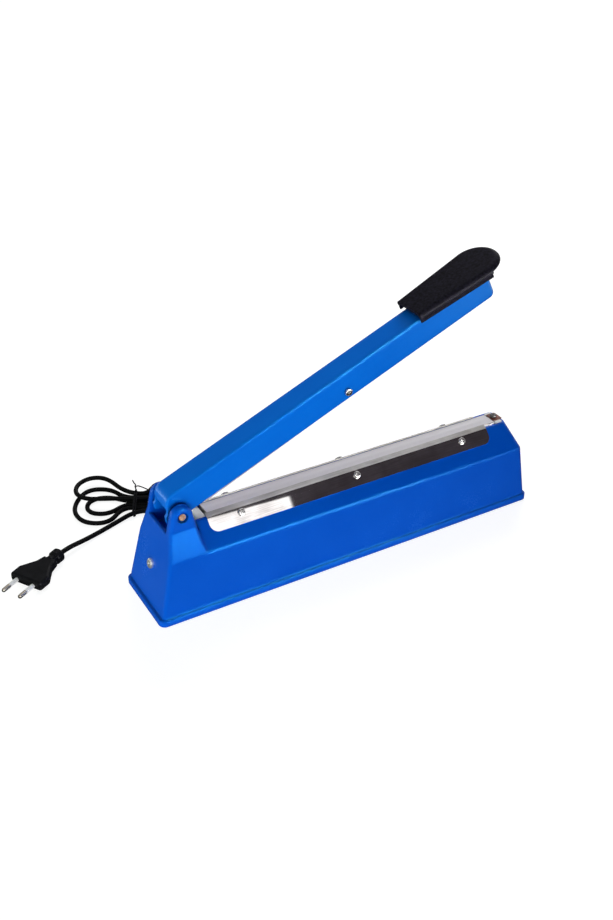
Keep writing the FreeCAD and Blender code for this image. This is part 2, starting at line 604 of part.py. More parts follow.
def make_arm():
    piece = Piece("arm_channel")
    side = rectangle("arm_rear", "arm_end", "arm_low", "arm_top")
    piece.pad(piece.outline("XZ_Plane", [side]), "arm_low_width", symmetric=True)
    rear = piece.circles("XZ_Plane", [("arm_rear", arm_middle)], arm_half_height)
    piece.pad(rear, "arm_low_width", symmetric=True)
    piece.pad(piece.circles("XZ_Plane", [("0", "0")], "arm_boss"), "arm_low_width", symmetric=True)
    heel = [("-0.24 * arm_heel", "-0.64 * arm_heel"), ("-arm_heel", "-0.288 * arm_heel"),
            ("-0.88 * arm_heel", "0.12 * arm_heel"), ("-0.48 * arm_heel", "0.4 * arm_heel")]
    piece.pad(piece.outline("XZ_Plane", [heel]), "arm_low_width", symmetric=True)
    # leaning sides
    far = "arm_end"
    lean = "((arm_low_width - arm_top_width) / 2 / (arm_top - arm_low))"
    over = "arm_top + arm_boss"
    below = "arm_low - arm_boss"
    trim = [(f"arm_top_width / 2 - arm_boss * {lean}", over), ("arm_low_width / 2", "arm_low"),
            ("arm_low_width / 2", below), (far, below), (far, over)]
    piece.pocket(piece.outline("YZ_Plane", [trim, mirrored(trim)]), "4 * arm_end", symmetric=True)
    nose = value("arm_end")
    low = value("arm_low")
    piece.rounded("arm_nose_round", lambda edge: all(abs(v.X - nose) < 0.01 and abs(v.Z - low) < 0.01
                                                     for v in edge.Vertexes))
    top = value("arm_top")
    piece.rounded("arm_edge_round", lambda edge: flat_at(edge, top) and edge.Length > value("arm_low_width"))
    # open underneath
    inner_low = "arm_low_width / 2 - arm_wall"
    inner_top = "arm_top_width / 2 - arm_wall"
    hollow = [(f"-({inner_low})", "arm_low"), (f"-({inner_low})", below), (inner_low, below),
              (inner_low, "arm_low"), (inner_top, "arm_top - arm_wall"),
              (f"-({inner_top})", "arm_top - arm_wall")]
    hollow = piece.outline("YZ_Plane", [hollow], "arm_rear")
    piece.pocket(hollow, "arm_end - arm_wall - arm_rear", reverse=True)
    rear = piece.circles("XZ_Plane", [("arm_rear", arm_middle)], f"{arm_half_height} - arm_wall")
    piece.pocket(rear, f"2 * ({inner_top})", symmetric=True)
    open_rear = rectangle("-2 * arm_heel", "arm_rear", below, arm_middle)
    piece.pocket(piece.outline("XZ_Plane", [open_rear]), f"2 * ({inner_top})", symmetric=True)
    # holder of the return spring under the top wall
    spring_spot = [("switch_reach", "spring_side")]
    boss = piece.circles("XY_Plane", spring_spot, "spring_boss_radius", "spring_boss_low")
    piece.pad(boss, "arm_top - arm_wall / 2 - spring_boss_low")
    for spot, radius in ((("0", "0"), "pin_radius + running_gap"),
                         (("press_pivot", "press_pivot_level"), "pivot_radius + fit_gap")):
        piece.pocket(piece.circles("XZ_Plane", [spot], radius), "base_width", symmetric=True)
    spots = [(along, "0") for along in grip_screw_places]
    piece.pocket(piece.circles("XY_Plane", spots, screw_bore, "arm_top + arm_wall"), "3 * arm_wall")
    on_arm(piece.body)
    return keep(piece)


def grip_outline(inset, near, far):
    near_half = f"(grip_start_width / 2 - {inset})"
    far_half = f"(grip_width / 2 - {inset})"
    return [(near, f"-{near_half}"), (far, f"-{far_half}"), (far, far_half), (near, near_half)]


def make_grip():
    piece = Piece("handle_grip")
    shell = "grip_top - grip_lip"
    piece.pad(piece.outline("XY_Plane", [grip_outline("0", "grip_start", "grip_turn")], "grip_lip"), shell)
    piece.pad(piece.circles("XY_Plane", [("grip_turn", "0")], "grip_width / 2", "grip_lip"), shell)
    top = value("grip_top")
    root = value("grip_start") + 1e-3
    piece.rounded("grip_round", lambda edge: flat_at(edge, top) and middle(edge).x > root)
    skirt = grip_outline("lip_step", "grip_start", "arm_end")
    piece.pad(piece.outline("XY_Plane", [skirt], "grip_low"), "grip_lip - grip_low")
    hollow = "grip_top - grip_roof - grip_low"
    inside = grip_outline("grip_wall", "grip_start - nose_gap", "arm_end + nose_gap")
    piece.pocket(piece.outline("XY_Plane", [inside], "grip_low"), hollow, reverse=True)
    nose = rectangle("arm_end + nose_gap / 2", "arm_end + 2 * grip_width", "-grip_width", "grip_width")
    piece.pocket(piece.outline("XY_Plane", [nose], "grip_low"), hollow, reverse=True)
    saddle = around("saddle_width / 2", "saddle_start", "arm_end - nose_gap")
    piece.pad(piece.outline("XY_Plane", [saddle], "arm_top"), "grip_top - grip_roof / 2 - arm_top")
    spots = [(along, "0") for along in grip_screw_places]
    holes = piece.circles("XY_Plane", spots, screw_bore, "arm_top")
    piece.pocket(holes, "grip_screw_reach + tip_gap", reverse=True)
    on_arm(piece.body)
    keep(piece)
    frames = [arm_frame(along, "0", "arm_top - arm_wall", Vector(0, 0, -1)) for along in grip_screw_places]
    screw = pan_screw("small_head", "small_head_height", "small_screw_radius", "arm_wall + grip_screw_reach")
    turned_set("grip_screws", screw, frames)


def make_press_bar():
    lean = "((arm_low_width - arm_top_width) / 2 / (arm_top - arm_low))"
    seat = f"(arm_low_width / 2 - (press_pivot_level - pivot_head - arm_low) * {lean})"
    spacer_top = "(press_pivot_level + 1.15 * pivot_spacer_radius - arm_low)"
    inner = f"(arm_low_width / 2 - arm_wall - {spacer_top} * {lean})"
    shank = f"2 * {seat} + pivot_nut_height + tip_gap"
    turned_set("pivot_screw", pan_screw("pivot_head", "pivot_head_height", "pivot_radius", shank),
               [arm_frame("press_pivot", f"-{seat}", "press_pivot_level", to_front)])
    bore = "pivot_radius + fit_gap / 2"
    turned_set("pivot_nut", tube("pivot_head", bore, "0", "pivot_nut_height"),
               [arm_frame("press_pivot", seat, "press_pivot_level", to_back)])
    spacer = f"({inner} - holder_width / 2 - 2 * spacer_slack)"
    beside = "(holder_width / 2 + spacer_slack)"
    turned_set("pivot_spacers", tube("pivot_spacer_radius", bore, "0", spacer),
               [arm_frame("press_pivot", f"{sign}{beside}", "press_pivot_level", facing)
                for sign, facing in (("-", to_front), ("", to_back))])
    # holder and strip, drawn about the pivot and dropped a little at the hinge end
    start = "press_start - press_pivot"
    length = "press_end - press_start"
    holder = Piece("press_bar_holder")
    half = "holder_width / 2"
    shift = "press_pivot_level"
    low = f"holder_low - {shift}"
    top = f"holder_top - {shift}"
    inner_half = f"{half} - holder_wall"
    channel = [(f"-({half})", low), (f"-({inner_half})", low), (f"-({inner_half})", f"{top} - holder_wall"),
               (inner_half, f"{top} - holder_wall"), (inner_half, low), (half, low), (half, top),
               (f"-({half})", top)]
    holder.pad(holder.outline("YZ_Plane", [channel], start), length)
    holder.pocket(holder.circles("XZ_Plane", [("0", "0")], "pivot_radius + running_gap"), "holder_width * 2",
                  symmetric=True)
    on_press_bar(holder.body)
    keep(holder)
    strip = Piece("silicone_strip")
    section = around_y(inner_half, f"{strip_low} - {shift}", f"strip_top - {shift}")
    strip.pad(strip.outline("YZ_Plane", [section], start), length)
    edge_low = value(f"{strip_low} - {shift}")
    strip.rounded("strip_round", lambda edge: flat_at(edge, edge_low) and edge.Length > value("holder_width"))
    on_press_bar(strip.body)
    keep(strip)


def on_press_bar(item):
    along = f"({pin_x} + press_pivot * cos(open_angle) - press_pivot_level * sin(open_angle))"
    level = "(pin_height + press_pivot * sin(open_angle) + press_pivot_level * cos(open_angle))"
    place(item, along, "0", level, across_y, "-(open_angle + press_tilt)")


def make_hinge():
    half = f"({ear_inner} - running_gap)"
    end = "(ear_face - pin_recess_depth + pin_stand)"
    tip = "pin_radius - pin_chamfer"
    profile = [("0", f"-{end}"), (tip, f"-{end}"), ("pin_radius", f"-{end} + pin_chamfer"),
               ("pin_radius", f"{end} - pin_chamfer"), (tip, end), ("0", end)]
    turned_set("hinge_pin", profile, [frame_at(pin_x, "0", "pin_height", to_back)])
    gap = f"({half} - arm_low_width / 2 - 2 * spacer_slack)"
    turned_set("hinge_spacers", tube("spacer_radius", "pin_radius + running_gap", "0", gap),
               [frame_at(pin_x, f"{sign}(arm_low_width / 2 + spacer_slack)", "pin_height", facing)
                for sign, facing in (("-", to_front), ("", to_back))])


def make_switch():
    rod_x = f"({pin_x} + switch_reach)"
    rod_top = "(pin_height + actuator_tip - rod_gap)"
    collar = "deck_height - wall - collar_gap"
    collar_low = f"{collar} - collar_height"
    collar_edge = "rod_radius + collar_step"
    rod = [("0", "rod_low - plunger_length"), ("plunger_radius", "rod_low - plunger_length"),
           ("plunger_radius", "rod_low"), ("rod_radius", "rod_low"), ("rod_radius", collar_low),
           (collar_edge, collar_low), (collar_edge, collar), ("rod_radius", collar),
           ("rod_radius", f"{rod_top} - rod_chamfer"), ("rod_radius - rod_chamfer", rod_top), ("0", rod_top)]
    turned_set("switch_push_rod", rod, [frame_at(rod_x, "rod_side", "0", up)])
    under = "arm_top - arm_wall"
    flange_low = f"{under} - stud_flange_height"
    stud = [("0", "actuator_tip"), ("stud_radius - pin_chamfer", "actuator_tip"),
            ("stud_radius", "actuator_tip + pin_chamfer"), ("stud_radius", flange_low),
            ("stud_flange", flange_low), ("stud_flange", under), ("0", under)]
    turned_set("actuator_stud", stud, [arm_frame("switch_reach", "rod_side", "0", up)])
    body_top = "rod_low - switch_stroke - collar_gap"
    switch = Piece("micro_switch")
    face = "rod_side + switch_thickness / 2"
    block = rectangle(f"{rod_x} - switch_length / 2", f"{rod_x} + switch_length / 2",
                      "rod_side - switch_thickness / 2", face)
    switch.pad(switch.outline("XY_Plane", [block], f"{body_top} - switch_height"), "switch_height")
    bore = switch.circles("XY_Plane", [(rod_x, "rod_side")], "plunger_radius + 3 * fit_gap", body_top)
    switch.pocket(bore, "plunger_length + switch_stroke")
    keep(switch)
    # angle bracket from the deck down the back of the switch
    bracket = Piece("switch_bracket")
    deck = "deck_height - wall"
    low = f"{body_top} - 0.75 * switch_height"
    angle = [(face, low), (f"{face} + bracket_thickness", low),
             (f"{face} + bracket_thickness", f"{deck} - bracket_thickness"),
             (f"{face} + bracket_foot", f"{deck} - bracket_thickness"), (f"{face} + bracket_foot", deck),
             (face, deck)]
    bracket.pad(bracket.outline("YZ_Plane", [angle], f"{rod_x} - bracket_length / 2"), "bracket_length")
    keep(bracket)


# Round wire and cord along a path of arcs

def sweep(path, diameter):
    first = path.Edges[0]
    start = first.valueAt(first.FirstParameter)
    facing = first.tangentAt(first.FirstParameter)
    profile = Part.Wire([Part.makeCircle(diameter / 2, start, facing)])
    shell = Part.BRepOffsetAPI.MakePipeShell(path)
    shell.add(profile)
    shell.build()
    shell.makeSolid()
    return shell.shape()


def arc_from(start, facing, end):
    chord = end - start
    side = chord - facing * chord.dot(facing)
    if side.Length < 1e-6:
        return Part.LineSegment(start, end).toShape(), math.inf
    radius = chord.Length ** 2 / (2 * side.Length)
    inward = side.normalize()
    half_turn = math.asin(min(1.0, chord.Length / (2 * radius)))
    if chord.dot(facing) < 0:
        half_turn = math.pi - half_turn
    crown = start + inward * (radius * (1 - math.cos(half_turn))) + facing * (radius * math.sin(half_turn))
    return Part.Arc(start, crown, end).toShape(), radius


def biarc(first, second):
    start, facing = first
    end, leaving = second
    chord = end - start
    both = chord.dot(facing + leaving)
    spread = 1 - facing.dot(leaving)
    if spread < 1e-9:
        reach = chord.dot(chord) / (4 * chord.dot(leaving))
    else:
        reach = (math.sqrt(both ** 2 + 2 * spread * chord.dot(chord)) - both) / (2 * spread)
    joint = (start + end + (facing - leaving) * reach) * 0.5
    turned = ((end - leaving * reach) - (start + facing * reach)).normalize()
    one, radius_one = arc_from(start, facing, joint)
    two, radius_two = arc_from(joint, turned, end)
    return [one, two], min(radius_one, radius_two)


def biarc_path(stations):
    edges = []
    tightest = math.inf
    for first, second in zip(stations, stations[1:]):
        pair, radius = biarc(first, second)
        edges += pair
        tightest = min(tightest, radius)
    return Part.Wire(edges), tightest


def least_gap(path, diameter):
    spots = path.discretize(Distance=diameter / 3)
    apart = int(4 * 3)
    least = math.inf
    for index, spot in enumerate(spots):
        for other in spots[index + apart:]:
            least = min(least, spot.distanceToPoint(other))
    return least - diameter


def run_path(spots):
    edges = []
    tightest = math.inf
    last = spots[0]
    for before, corner, after in zip(spots, spots[1:], spots[2:]):
        arriving = (corner - before).normalize()
        leaving = (after - corner).normalize()
        half_turn = arriving.getAngle(leaving) / 2
        reach = 0.45 * min((corner - before).Length, (after - corner).Length)
        tightest = min(tightest, reach / math.tan(half_turn))
        start = corner - arriving * reach
        end = corner + leaving * reach
        edges.append(Part.LineSegment(last, start).toShape())
        arc, _ = arc_from(start, arriving, end)
        edges.append(arc)
        last = end
    edges.append(Part.LineSegment(last, spots[-1]).toShape())
    return Part.Wire(edges), tightest


def soft_piece(label, path, tightest, diameter):
    item = doc.addObject("Part::Feature", label)
    item.Shape = sweep(path, diameter)
    expected = math.pi * diameter ** 2 / 4 * path.Length
    print(label, "length", round(path.Length, 1), "least radius", round(tightest, 1),
          "volume ratio", round(item.Shape.Volume / expected, 4))
    return keep(item)


def make_return_spring():
    wire = value("spring_wire")
    radius = value("spring_mean_radius")
    low = value("deck_height + fit_gap") + wire / 2
    boss = arm_frame("switch_reach", "spring_side", "spring_boss_low", up).Base
    reach = value("spring_boss_radius * sin(open_angle)")
    high = boss.z - reach - wire / 2 - value("2 * fit_gap")
    quarters = int(round(value("spring_turns"))) * 4
    centre = Vector(value(f"{pin_x} + switch_reach"), value("spring_side"), 0)
    rise = (high - low) / quarters
    climb = rise / (radius * math.pi / 2)
    stations = []
    for index in range(quarters + 1):
        turn = index * math.pi / 2
        spot = centre + Vector(radius * math.cos(turn), radius * math.sin(turn), low + rise * index)
        stations.append((spot, Vector(-math.sin(turn), math.cos(turn), climb).normalize()))
    path, tightest = biarc_path(stations)
    soft_piece("return_spring", path, tightest, wire)


def make_bottom():
    plate = Piece("bottom_plate")
    outline = around(f"{side_y(plate_top)} - wall - bottom_gap",
                     f"{hinge_end_x(plate_top)} + wall + bottom_gap",
                     f"{handle_end_x(plate_top)} - wall - bottom_gap")
    plate.pad(plate.outline("XY_Plane", [outline], "plate_level"), "bottom_thickness")
    corners = [(f"{x}boss_along", f"{y}boss_across") for x in ("", "-") for y in ("", "-")]
    strap_spots = [(f"transformer_middle {sign} (core_length / 2 + strap_thickness + strap_foot / 2)", "0")
                   for sign in ("-", "+")]
    holes = plate.circles("XY_Plane", corners + strap_spots, screw_bore, f"{plate_top} + bottom_thickness")
    plate.pocket(holes, "3 * bottom_thickness")
    keep(plate)
    screw = pan_screw("small_head", "bottom_head_height", "small_screw_radius", "bottom_screw_length")
    turned_set("bottom_screws", screw, [frame_at(x, y, "plate_level", Vector(0, 0, -1)) for x, y in corners])
    # a foot in each corner and one under the middle of the seal
    foot = [("0", "0"), ("foot_radius - foot_chamfer", "0"), ("foot_radius", "foot_chamfer"),
            ("foot_radius", "plate_level"), ("0", "plate_level")]
    feet = [(f"{x}(boss_along + foot_step)", f"{y}(boss_across - foot_inset)")
            for x in ("", "-") for y in ("", "-")]
    feet.append(("0", "0"))
    turned_set("rubber_feet", foot, [frame_at(x, y, "0", up) for x, y in feet])
    return strap_spots


def make_transformer(strap_spots):
    middle_x = "transformer_middle"
    core = Piece("transformer_core")
    yoke = "((core_height - core_window_height) / 2)"
    outer = rectangle(f"{middle_x} - core_length / 2", f"{middle_x} + core_length / 2", plate_top,
                      f"{plate_top} + core_height")
    loops = [outer]
    for sign in ("-", "+"):
        near = f"{middle_x} {sign} core_leg / 2"
        loops.append(rectangle(near, f"{near} {sign} core_window", f"{plate_top} + {yoke}",
                               f"{plate_top} + {yoke} + core_window_height"))
    core.pad(core.outline("XZ_Plane", loops), "core_stack", symmetric=True)
    keep(core)
    coil = Piece("transformer_coil")
    bore = "core_leg / 2 + coil_clearance"
    inner = rectangle(f"{middle_x} - ({bore})", f"{middle_x} + {bore}", "-core_stack / 2 - coil_clearance",
                      "core_stack / 2 + coil_clearance")
    reach = "(core_leg / 2 + core_window - coil_clearance)"
    side = "(core_stack / 2 + coil_overhang)"
    around_leg = rectangle(f"{middle_x} - {reach}", f"{middle_x} + {reach}", f"-{side}", side)
    coil.pad(coil.outline("XY_Plane", [around_leg, inner], f"{plate_top} + {yoke} + coil_clearance"),
             "core_window_height - 2 * coil_clearance")
    reach_value = value(reach)
    coil.rounded("coil_round",
                 lambda edge: upright(edge) and abs(middle(edge).x - value(middle_x)) > reach_value - 0.01)
    keep(coil)
    strap = Piece("transformer_strap")
    near = "core_length / 2"
    out = f"{near} + strap_thickness"
    far = f"{out} + strap_foot"
    top = f"{plate_top} + core_height"
    foot_top = f"{plate_top} + strap_thickness"
    over = f"{top} + strap_thickness"
    right = [(near, top), (near, plate_top), (far, plate_top), (far, foot_top), (out, foot_top), (out, over)]
    loop = [(f"{middle_x} + {x}", z) for x, z in right]
    loop += [(f"{middle_x} - ({x})", z) for x, z in reversed(right)]
    strap.pad(strap.outline("XZ_Plane", [loop]), "strap_width", symmetric=True)
    holes = strap.circles("XY_Plane", strap_spots, screw_bore, f"{foot_top} + strap_thickness")
    strap.pocket(holes, "3 * strap_thickness")
    keep(strap)
    shank = "strap_thickness + bottom_thickness"
    screw = pan_screw("small_head", "small_head_height", "small_screw_radius", shank)
    turned_set("transformer_screws", screw, [frame_at(x, y, foot_top, up) for x, y in strap_spots])


def make_timer_board():
    level = f"({plate_top} + standoff_height)"
    corners = [(f"board_middle {x} (board_length / 2 - standoff_inset)",
                f"{y}(board_width / 2 - standoff_inset)") for x in ("-", "+") for y in ("", "-")]
    turned_set("board_standoffs", tube("standoff_radius", "standoff_bore", "0", "standoff_height"),
               [frame_at(x, y, plate_top, up) for x, y in corners])

    def block(label, middle_x, middle_y, length, width, low, height):
        piece = Piece(label)
        loop = rectangle(f"{middle_x} - {length} / 2", f"{middle_x} + {length} / 2",
                         f"{middle_y} - {width} / 2", f"{middle_y} + {width} / 2")
        piece.pad(piece.outline("XY_Plane", [loop], low), height)
        return keep(piece)

    top = f"{level} + board_thickness"
    block("timer_board", "board_middle", "0", "board_length", "board_width", level, "board_thickness")
    relay = block("timer_relay", "board_middle + relay_along", "0", "relay_length", "relay_width", top,
                  "relay_height")
    relay.rounded("relay_round", upright)
    block("board_terminals", "board_middle", "-terminals_side", "terminals_length", "terminals_width", top,
          "terminals_height")
    can = [("0", "0"), ("can_radius", "0"), ("can_radius", "0.95 * can_height"),
           ("0.88 * can_radius", "can_height"), ("0", "can_height")]
    turned_set("board_capacitors", can, [frame_at(f"board_middle + {along}", "0", top, up)
                                         for along in ("can_along", "can_along + can_pitch")])


wall_depth = "(wall / sqrt(1 + side_slope ^ 2))"


def turned_on_back_wall(label, profile, along, up_wall):
    piece = Piece(label)
    piece.turned(profile)
    on_back_wall(piece.body, along, up_wall)
    return keep(piece)


def make_back_wall():
    bore = "shaft_radius + running_gap"
    inside = f"-({wall_depth} + pot_depth)"
    pot = [(bore, inside), ("pot_radius", inside), ("pot_radius", f"-{wall_depth}"),
           ("bush_radius", f"-{wall_depth}"), ("bush_radius", "bush_length"), (bore, "bush_length")]
    turned_on_back_wall("timer_potentiometer", pot, "timer_along", "timer_up")
    nut = tube("nut_radius", "bush_radius + fit_gap / 2", "0", "nut_height")
    turned_on_back_wall("potentiometer_nut", nut, "timer_along", "timer_up")
    shaft_low = f"-({wall_depth} + shaft_inside)"
    shaft = [("0", shaft_low), ("shaft_radius", shaft_low), ("shaft_radius", "shaft_out"), ("0", "shaft_out")]
    turned_on_back_wall("knob_shaft", shaft, "timer_along", "timer_up")
    socket = "shaft_radius + running_gap / 2"
    over_bush = "bush_length + knob_gap"
    hollow = "knob_radius - knob_wall"
    crown = "knob_height + knob_gap"
    knob = [(socket, over_bush), (hollow, over_bush), (hollow, "knob_gap"),
            ("knob_radius + knob_flange", "knob_gap"),
            ("knob_radius + knob_flange", "knob_gap + knob_flange"),
            ("knob_radius", "knob_gap + 1.5 * knob_flange"),
            ("knob_radius - 0.4 * knob_flange", "knob_height"), ("knob_radius - 0.8 * knob_flange", crown),
            ("0", crown), ("0", "shaft_out"), (socket, "shaft_out")]
    turned_on_back_wall("timer_knob", knob, "timer_along", "timer_up")
    lamp_low = f"-({wall_depth} + lamp_depth)"
    lamp_body = "lamp_radius - 5 * fit_gap"
    lamp_rim = "lamp_radius + lamp_flange"
    lamp = [("0", lamp_low), (lamp_body, lamp_low), (lamp_body, f"-{wall_depth}"),
            ("lamp_radius", f"-{wall_depth}"), ("lamp_radius", "0"), (lamp_rim, "0"),
            (lamp_rim, "0.26 * lamp_dome"), ("lamp_radius", "0.42 * lamp_dome"),
            ("0.8 * lamp_radius", "0.79 * lamp_dome"), ("0", "lamp_dome")]
    turned_on_back_wall("pilot_lamp", lamp, "lamp_along", "timer_up")
    # tapered strain relief with four ribs
    relief_low = f"-({wall_depth} + relief_flange)"
    inner_rim = "relief_neck + relief_flange"
    outer_rim_edge = "relief_neck + 0.8 * relief_flange"
    relief = [("0", relief_low), (inner_rim, relief_low), (inner_rim, f"-{wall_depth}"),
              ("relief_neck", f"-{wall_depth}"), ("relief_neck", "0"), (outer_rim_edge, "0"),
              (outer_rim_edge, "relief_flange"), ("relief_neck + 0.4 * relief_flange", "1.3 * relief_flange")]
    for rib in range(4):
        along = f"relief_length * {0.25 + 0.175 * rib:.3f}"
        outer = f"relief_neck * {1.136 - 0.08 * rib:.3f}"
        groove = f"{outer} - 0.16 * relief_neck"
        relief += [(outer, along), (groove, f"{along} + 0.0125 * relief_length"),
                   (groove, f"{along} + 0.054 * relief_length"),
                   (f"{outer} - 0.034 * relief_neck", f"{along} + 0.067 * relief_length")]
    relief += [("cord_diameter / 2 + tip_gap", "relief_length"), ("0", "relief_length")]
    turned_on_back_wall("cord_strain_relief", relief, "cord_along", "cord_up")
    end_facing = Vector(-1, 0, value("hinge_end_slope")).normalize()
    screw = pan_screw("end_screw_radius", "end_screw_head", "end_screw_radius / 2", "end_screw_length")
    turned_set("end_screw", screw, [frame_at(hinge_end_x("end_screw_up"), "0", "end_screw_up", end_facing)])


# Mains cord: a straight lead to the plug, a tied hank of three loops, and a lead to the base

hank_middle = Vector(value("hank_x"), value("hank_y"), 0)
hank_turn = math.radians(value("hank_turn"))
hank_right = Vector(math.cos(hank_turn), math.sin(hank_turn), 0)
hank_back = Vector(-hank_right.y, hank_right.x, 0)
cord = value("cord_diameter")


def hank_spot(right, back, height):
    return hank_middle + hank_right * (right * cord) + hank_back * (back * cord) + Vector(0, 0, height * cord)


# heights of the strands in cord diameters: on the floor, and the two layers inside the tie
floor_layer = 0.522
tied_low = 0.728
tied_high = 1.902

# where the plug's lead turns into the hank, in cord diameters right of and behind the tie
lead_turn = (-0.65, -4.15)
lead_in = (1.74, -3.11)

# stations of the hank in cord diameters: right, back, height and the way the cord runs there
to_right = (1, 0)
to_left = (-1, 0)
backward = (0, 1)
forward = (0, -1)
hank_stations = [
    (3.91, -3.11, 0.65, to_right),
    (6.52, -3.13, floor_layer, to_right),
    (12.61, 2.5, floor_layer, backward),
    (5.96, 7.83, floor_layer, to_left),
    (0, 1.935, tied_low, to_left),
    (-8.70, 5.76, floor_layer, to_left),
    (-13.04, -0.87, floor_layer, forward),
    (-7.72, -7.17, floor_layer, to_right),
    (0, -1.935, tied_low, to_right),
    (6.74, -1.935, floor_layer, to_right),
    (10.96, 2.09, floor_layer, backward),
    (7.70, 6.09, floor_layer, to_left),
    (0, 0.587, tied_low, to_left),
    (-7.17, 2.37, floor_layer, to_left),
    (-10.43, -0.70, floor_layer, forward),
    (-7.50, -3.74, floor_layer, to_right),
    (0, -0.587, tied_low, to_right),
    (5.96, -0.70, 0.609, to_right),
    (9.04, 2.39, 0.739, backward),
    (5.96, 5.48, 1.783, to_left),
    (0, 1.217, tied_high, to_left),
    (-9.57, 9.35, 1.435, to_left),
    (-13.48, 4.35, 1.652, forward),
    (-9.13, 0.22, 1.739, to_right),
    (0, 0, tied_high, to_right),
    (5.65, 0, tied_high, to_right),
]


def make_hank():
    stations = []
    for right, back, height, (along, across) in hank_stations:
        stations.append((hank_spot(right, back, height), hank_right * along + hank_back * across))
    path, tightest = biarc_path(stations)
    soft_piece("cord_hank", path, tightest, cord)
    print("cord_hank least gap to itself", round(least_gap(path, cord), 2))
    # tie round all strands
    corners = [(-4.17, tied_low), (1.935, tied_low), (1.217, tied_high), (0, tied_high)]
    width = value("tie_width")
    shift = hank_right * (-width / 2)
    spots = [hank_spot(0, back, height) + shift for back, height in corners]
    middle_line = Part.makePolygon(spots + spots[:1])
    inner = cord / 2 + value("tie_clearance")
    ring = Part.Face(middle_line.makeOffset2D(inner + value("tie_thickness")))
    ring = ring.cut(Part.Face(middle_line.makeOffset2D(inner)))
    item = doc.addObject("Part::Feature", "cord_tie")
    item.Shape = ring.extrude(hank_right * width).Solids[0]
    keep(item)
    return stations[0][0], stations[-1][0]


# bow of the base's lead: share of the way to the hank, then how far it swings out and sags in cord diameters
lead_bow = [(0.3, 0.87, 0.15), (0.58, 1.63, 0.35), (0.83, 1.2, 0.24)]

# the plug's lead: share of the way to the hank, then its bow and its height in cord diameters
plug_bow = [(0.25, 0.11, 0.8), (0.5, 0.2, floor_layer), (0.76, 0.13, 0.56)]


def make_base_lead(hank_end):
    tilt = math.atan(value("side_slope"))
    outward = Vector(0, math.cos(tilt), math.sin(tilt))
    wall_spot = Vector(value("cord_along"), value(side_y("cord_up")), value("cord_up"))
    start = wall_spot + outward * value("relief_length")
    left = start + outward * (2.6 * cord)
    over = hank_end + hank_right * (2.83 * cord)
    spots = [start, left]
    for share, bulge, drop in lead_bow:
        spots.append(left + (over - left) * share + Vector(bulge * cord, 0, -drop * cord))
    path, tightest = run_path(spots + [over, hank_end])
    soft_piece("cord_base_lead", path, tightest, cord)


def make_plug(hank_start):
    turn = math.radians(value("plug_turn"))
    facing = Vector(math.cos(turn), math.sin(turn), 0)
    aside = Vector(-facing.y, facing.x, 0)
    front = Vector(value("plug_x"), value("plug_y"), value("plug_axis"))
    piece = Piece("plug_body")
    half = "plug_width / 2"
    back_half = [("0", half), ("-plug_length * 0.36", half), ("-plug_length * 0.54", f"{half} * 0.77"),
                 ("-plug_length * 0.74", f"{half} * 0.52"), ("-plug_length", f"{half} * 0.4")]
    outline = back_half + [(x, f"-({y})") for x, y in reversed(back_half)]
    piece.pad(piece.outline("XY_Plane", [outline]), "plug_thickness", symmetric=True)
    piece.rounded("plug_corner", lambda edge: upright(edge) and middle(edge).x > value("-plug_length * 0.9"))
    thick = value("plug_thickness / 2")
    piece.rounded("plug_edge", lambda edge: flat_at(edge, thick) or flat_at(edge, -thick))
    rear = "-plug_length - plug_collar"
    collar = [("-0.95 * plug_length", "0"), ("-0.95 * plug_length", "plug_neck"),
              ("-plug_length - 0.28 * plug_collar", "0.94 * plug_neck"),
              ("-plug_length - 0.33 * plug_collar", "0.93 * plug_ring"),
              ("-plug_length - 0.39 * plug_collar", "plug_ring"),
              ("-plug_length - 0.86 * plug_collar", "plug_ring"),
              ("-plug_length - 0.95 * plug_collar", "0.85 * plug_ring"), (rear, "0.7 * cord_diameter"),
              (rear, "0")]
    piece.turned(collar, axis="H_Axis")
    place(piece.body, "plug_x", "plug_y", "plug_axis", Vector(0, 0, 1), "plug_turn")
    keep(piece)
    core = "prong_radius - sleeve_wall"
    prong = [("0", "0"), (core, "0"), (core, "sleeve_length"), ("prong_radius", "sleeve_length"),
             ("prong_radius", "prong_length - prong_tip"), ("prong_radius * 0.6", "prong_length"),
             ("0", "prong_length")]
    spread = value("prong_spacing / 2")
    frames = [Placement(front + aside * (sign * spread), Rotation(up, facing)) for sign in (-1, 1)]
    turned_set("plug_prongs", prong, frames)
    sleeve = tube("prong_radius", f"{core} + running_gap / 3", "0", "sleeve_length")
    turned_set("prong_sleeves", sleeve, frames)
    start = front - facing * value("plug_length + plug_collar")
    clear = start - facing * (2.4 * cord)
    bend = hank_spot(lead_turn[0], lead_turn[1], tied_low)
    spots = [start, clear + Vector(0, 0, -0.13 * cord)]
    for share, bow, height in plug_bow:
        spot = clear + (bend - clear) * share - aside * (bow * cord)
        spots.append(Vector(spot.x, spot.y, height * cord))
    spots += [bend, hank_spot(lead_in[0], lead_in[1], 0.69), hank_start]
    path, tightest = run_path(spots)
    soft_piece("cord_plug_lead", path, tightest, cord)


make_base_housing()
make_hinge()
make_seal_bar()
for label, sign in (("front_clamp_plate", -1), ("rear_clamp_plate", 1)):
    make_clamp_plate(label, sign)
    facing = roof_facing(sign)
    lift = f"plate_thickness / {roof_length}"
    side = f"{sign} * ({screw_side} + {lift} * roof_slope)"
    frames = [frame_at(along, side, f"{screw_seat} + {lift}", facing) for along in plate_screw_places]
    screw = pan_screw("plate_head", "plate_head_height", "small_screw_radius", "plate_screw_length")
    turned_set(label.replace("plate", "screws"), screw, frames)
make_arm()
make_grip()
make_press_bar()
make_switch()
make_return_spring()
make_transformer(make_bottom())
make_timer_board()
make_back_wall()
hank_ends = make_hank()
make_base_lead(hank_ends[1])
make_plug(hank_ends[0])

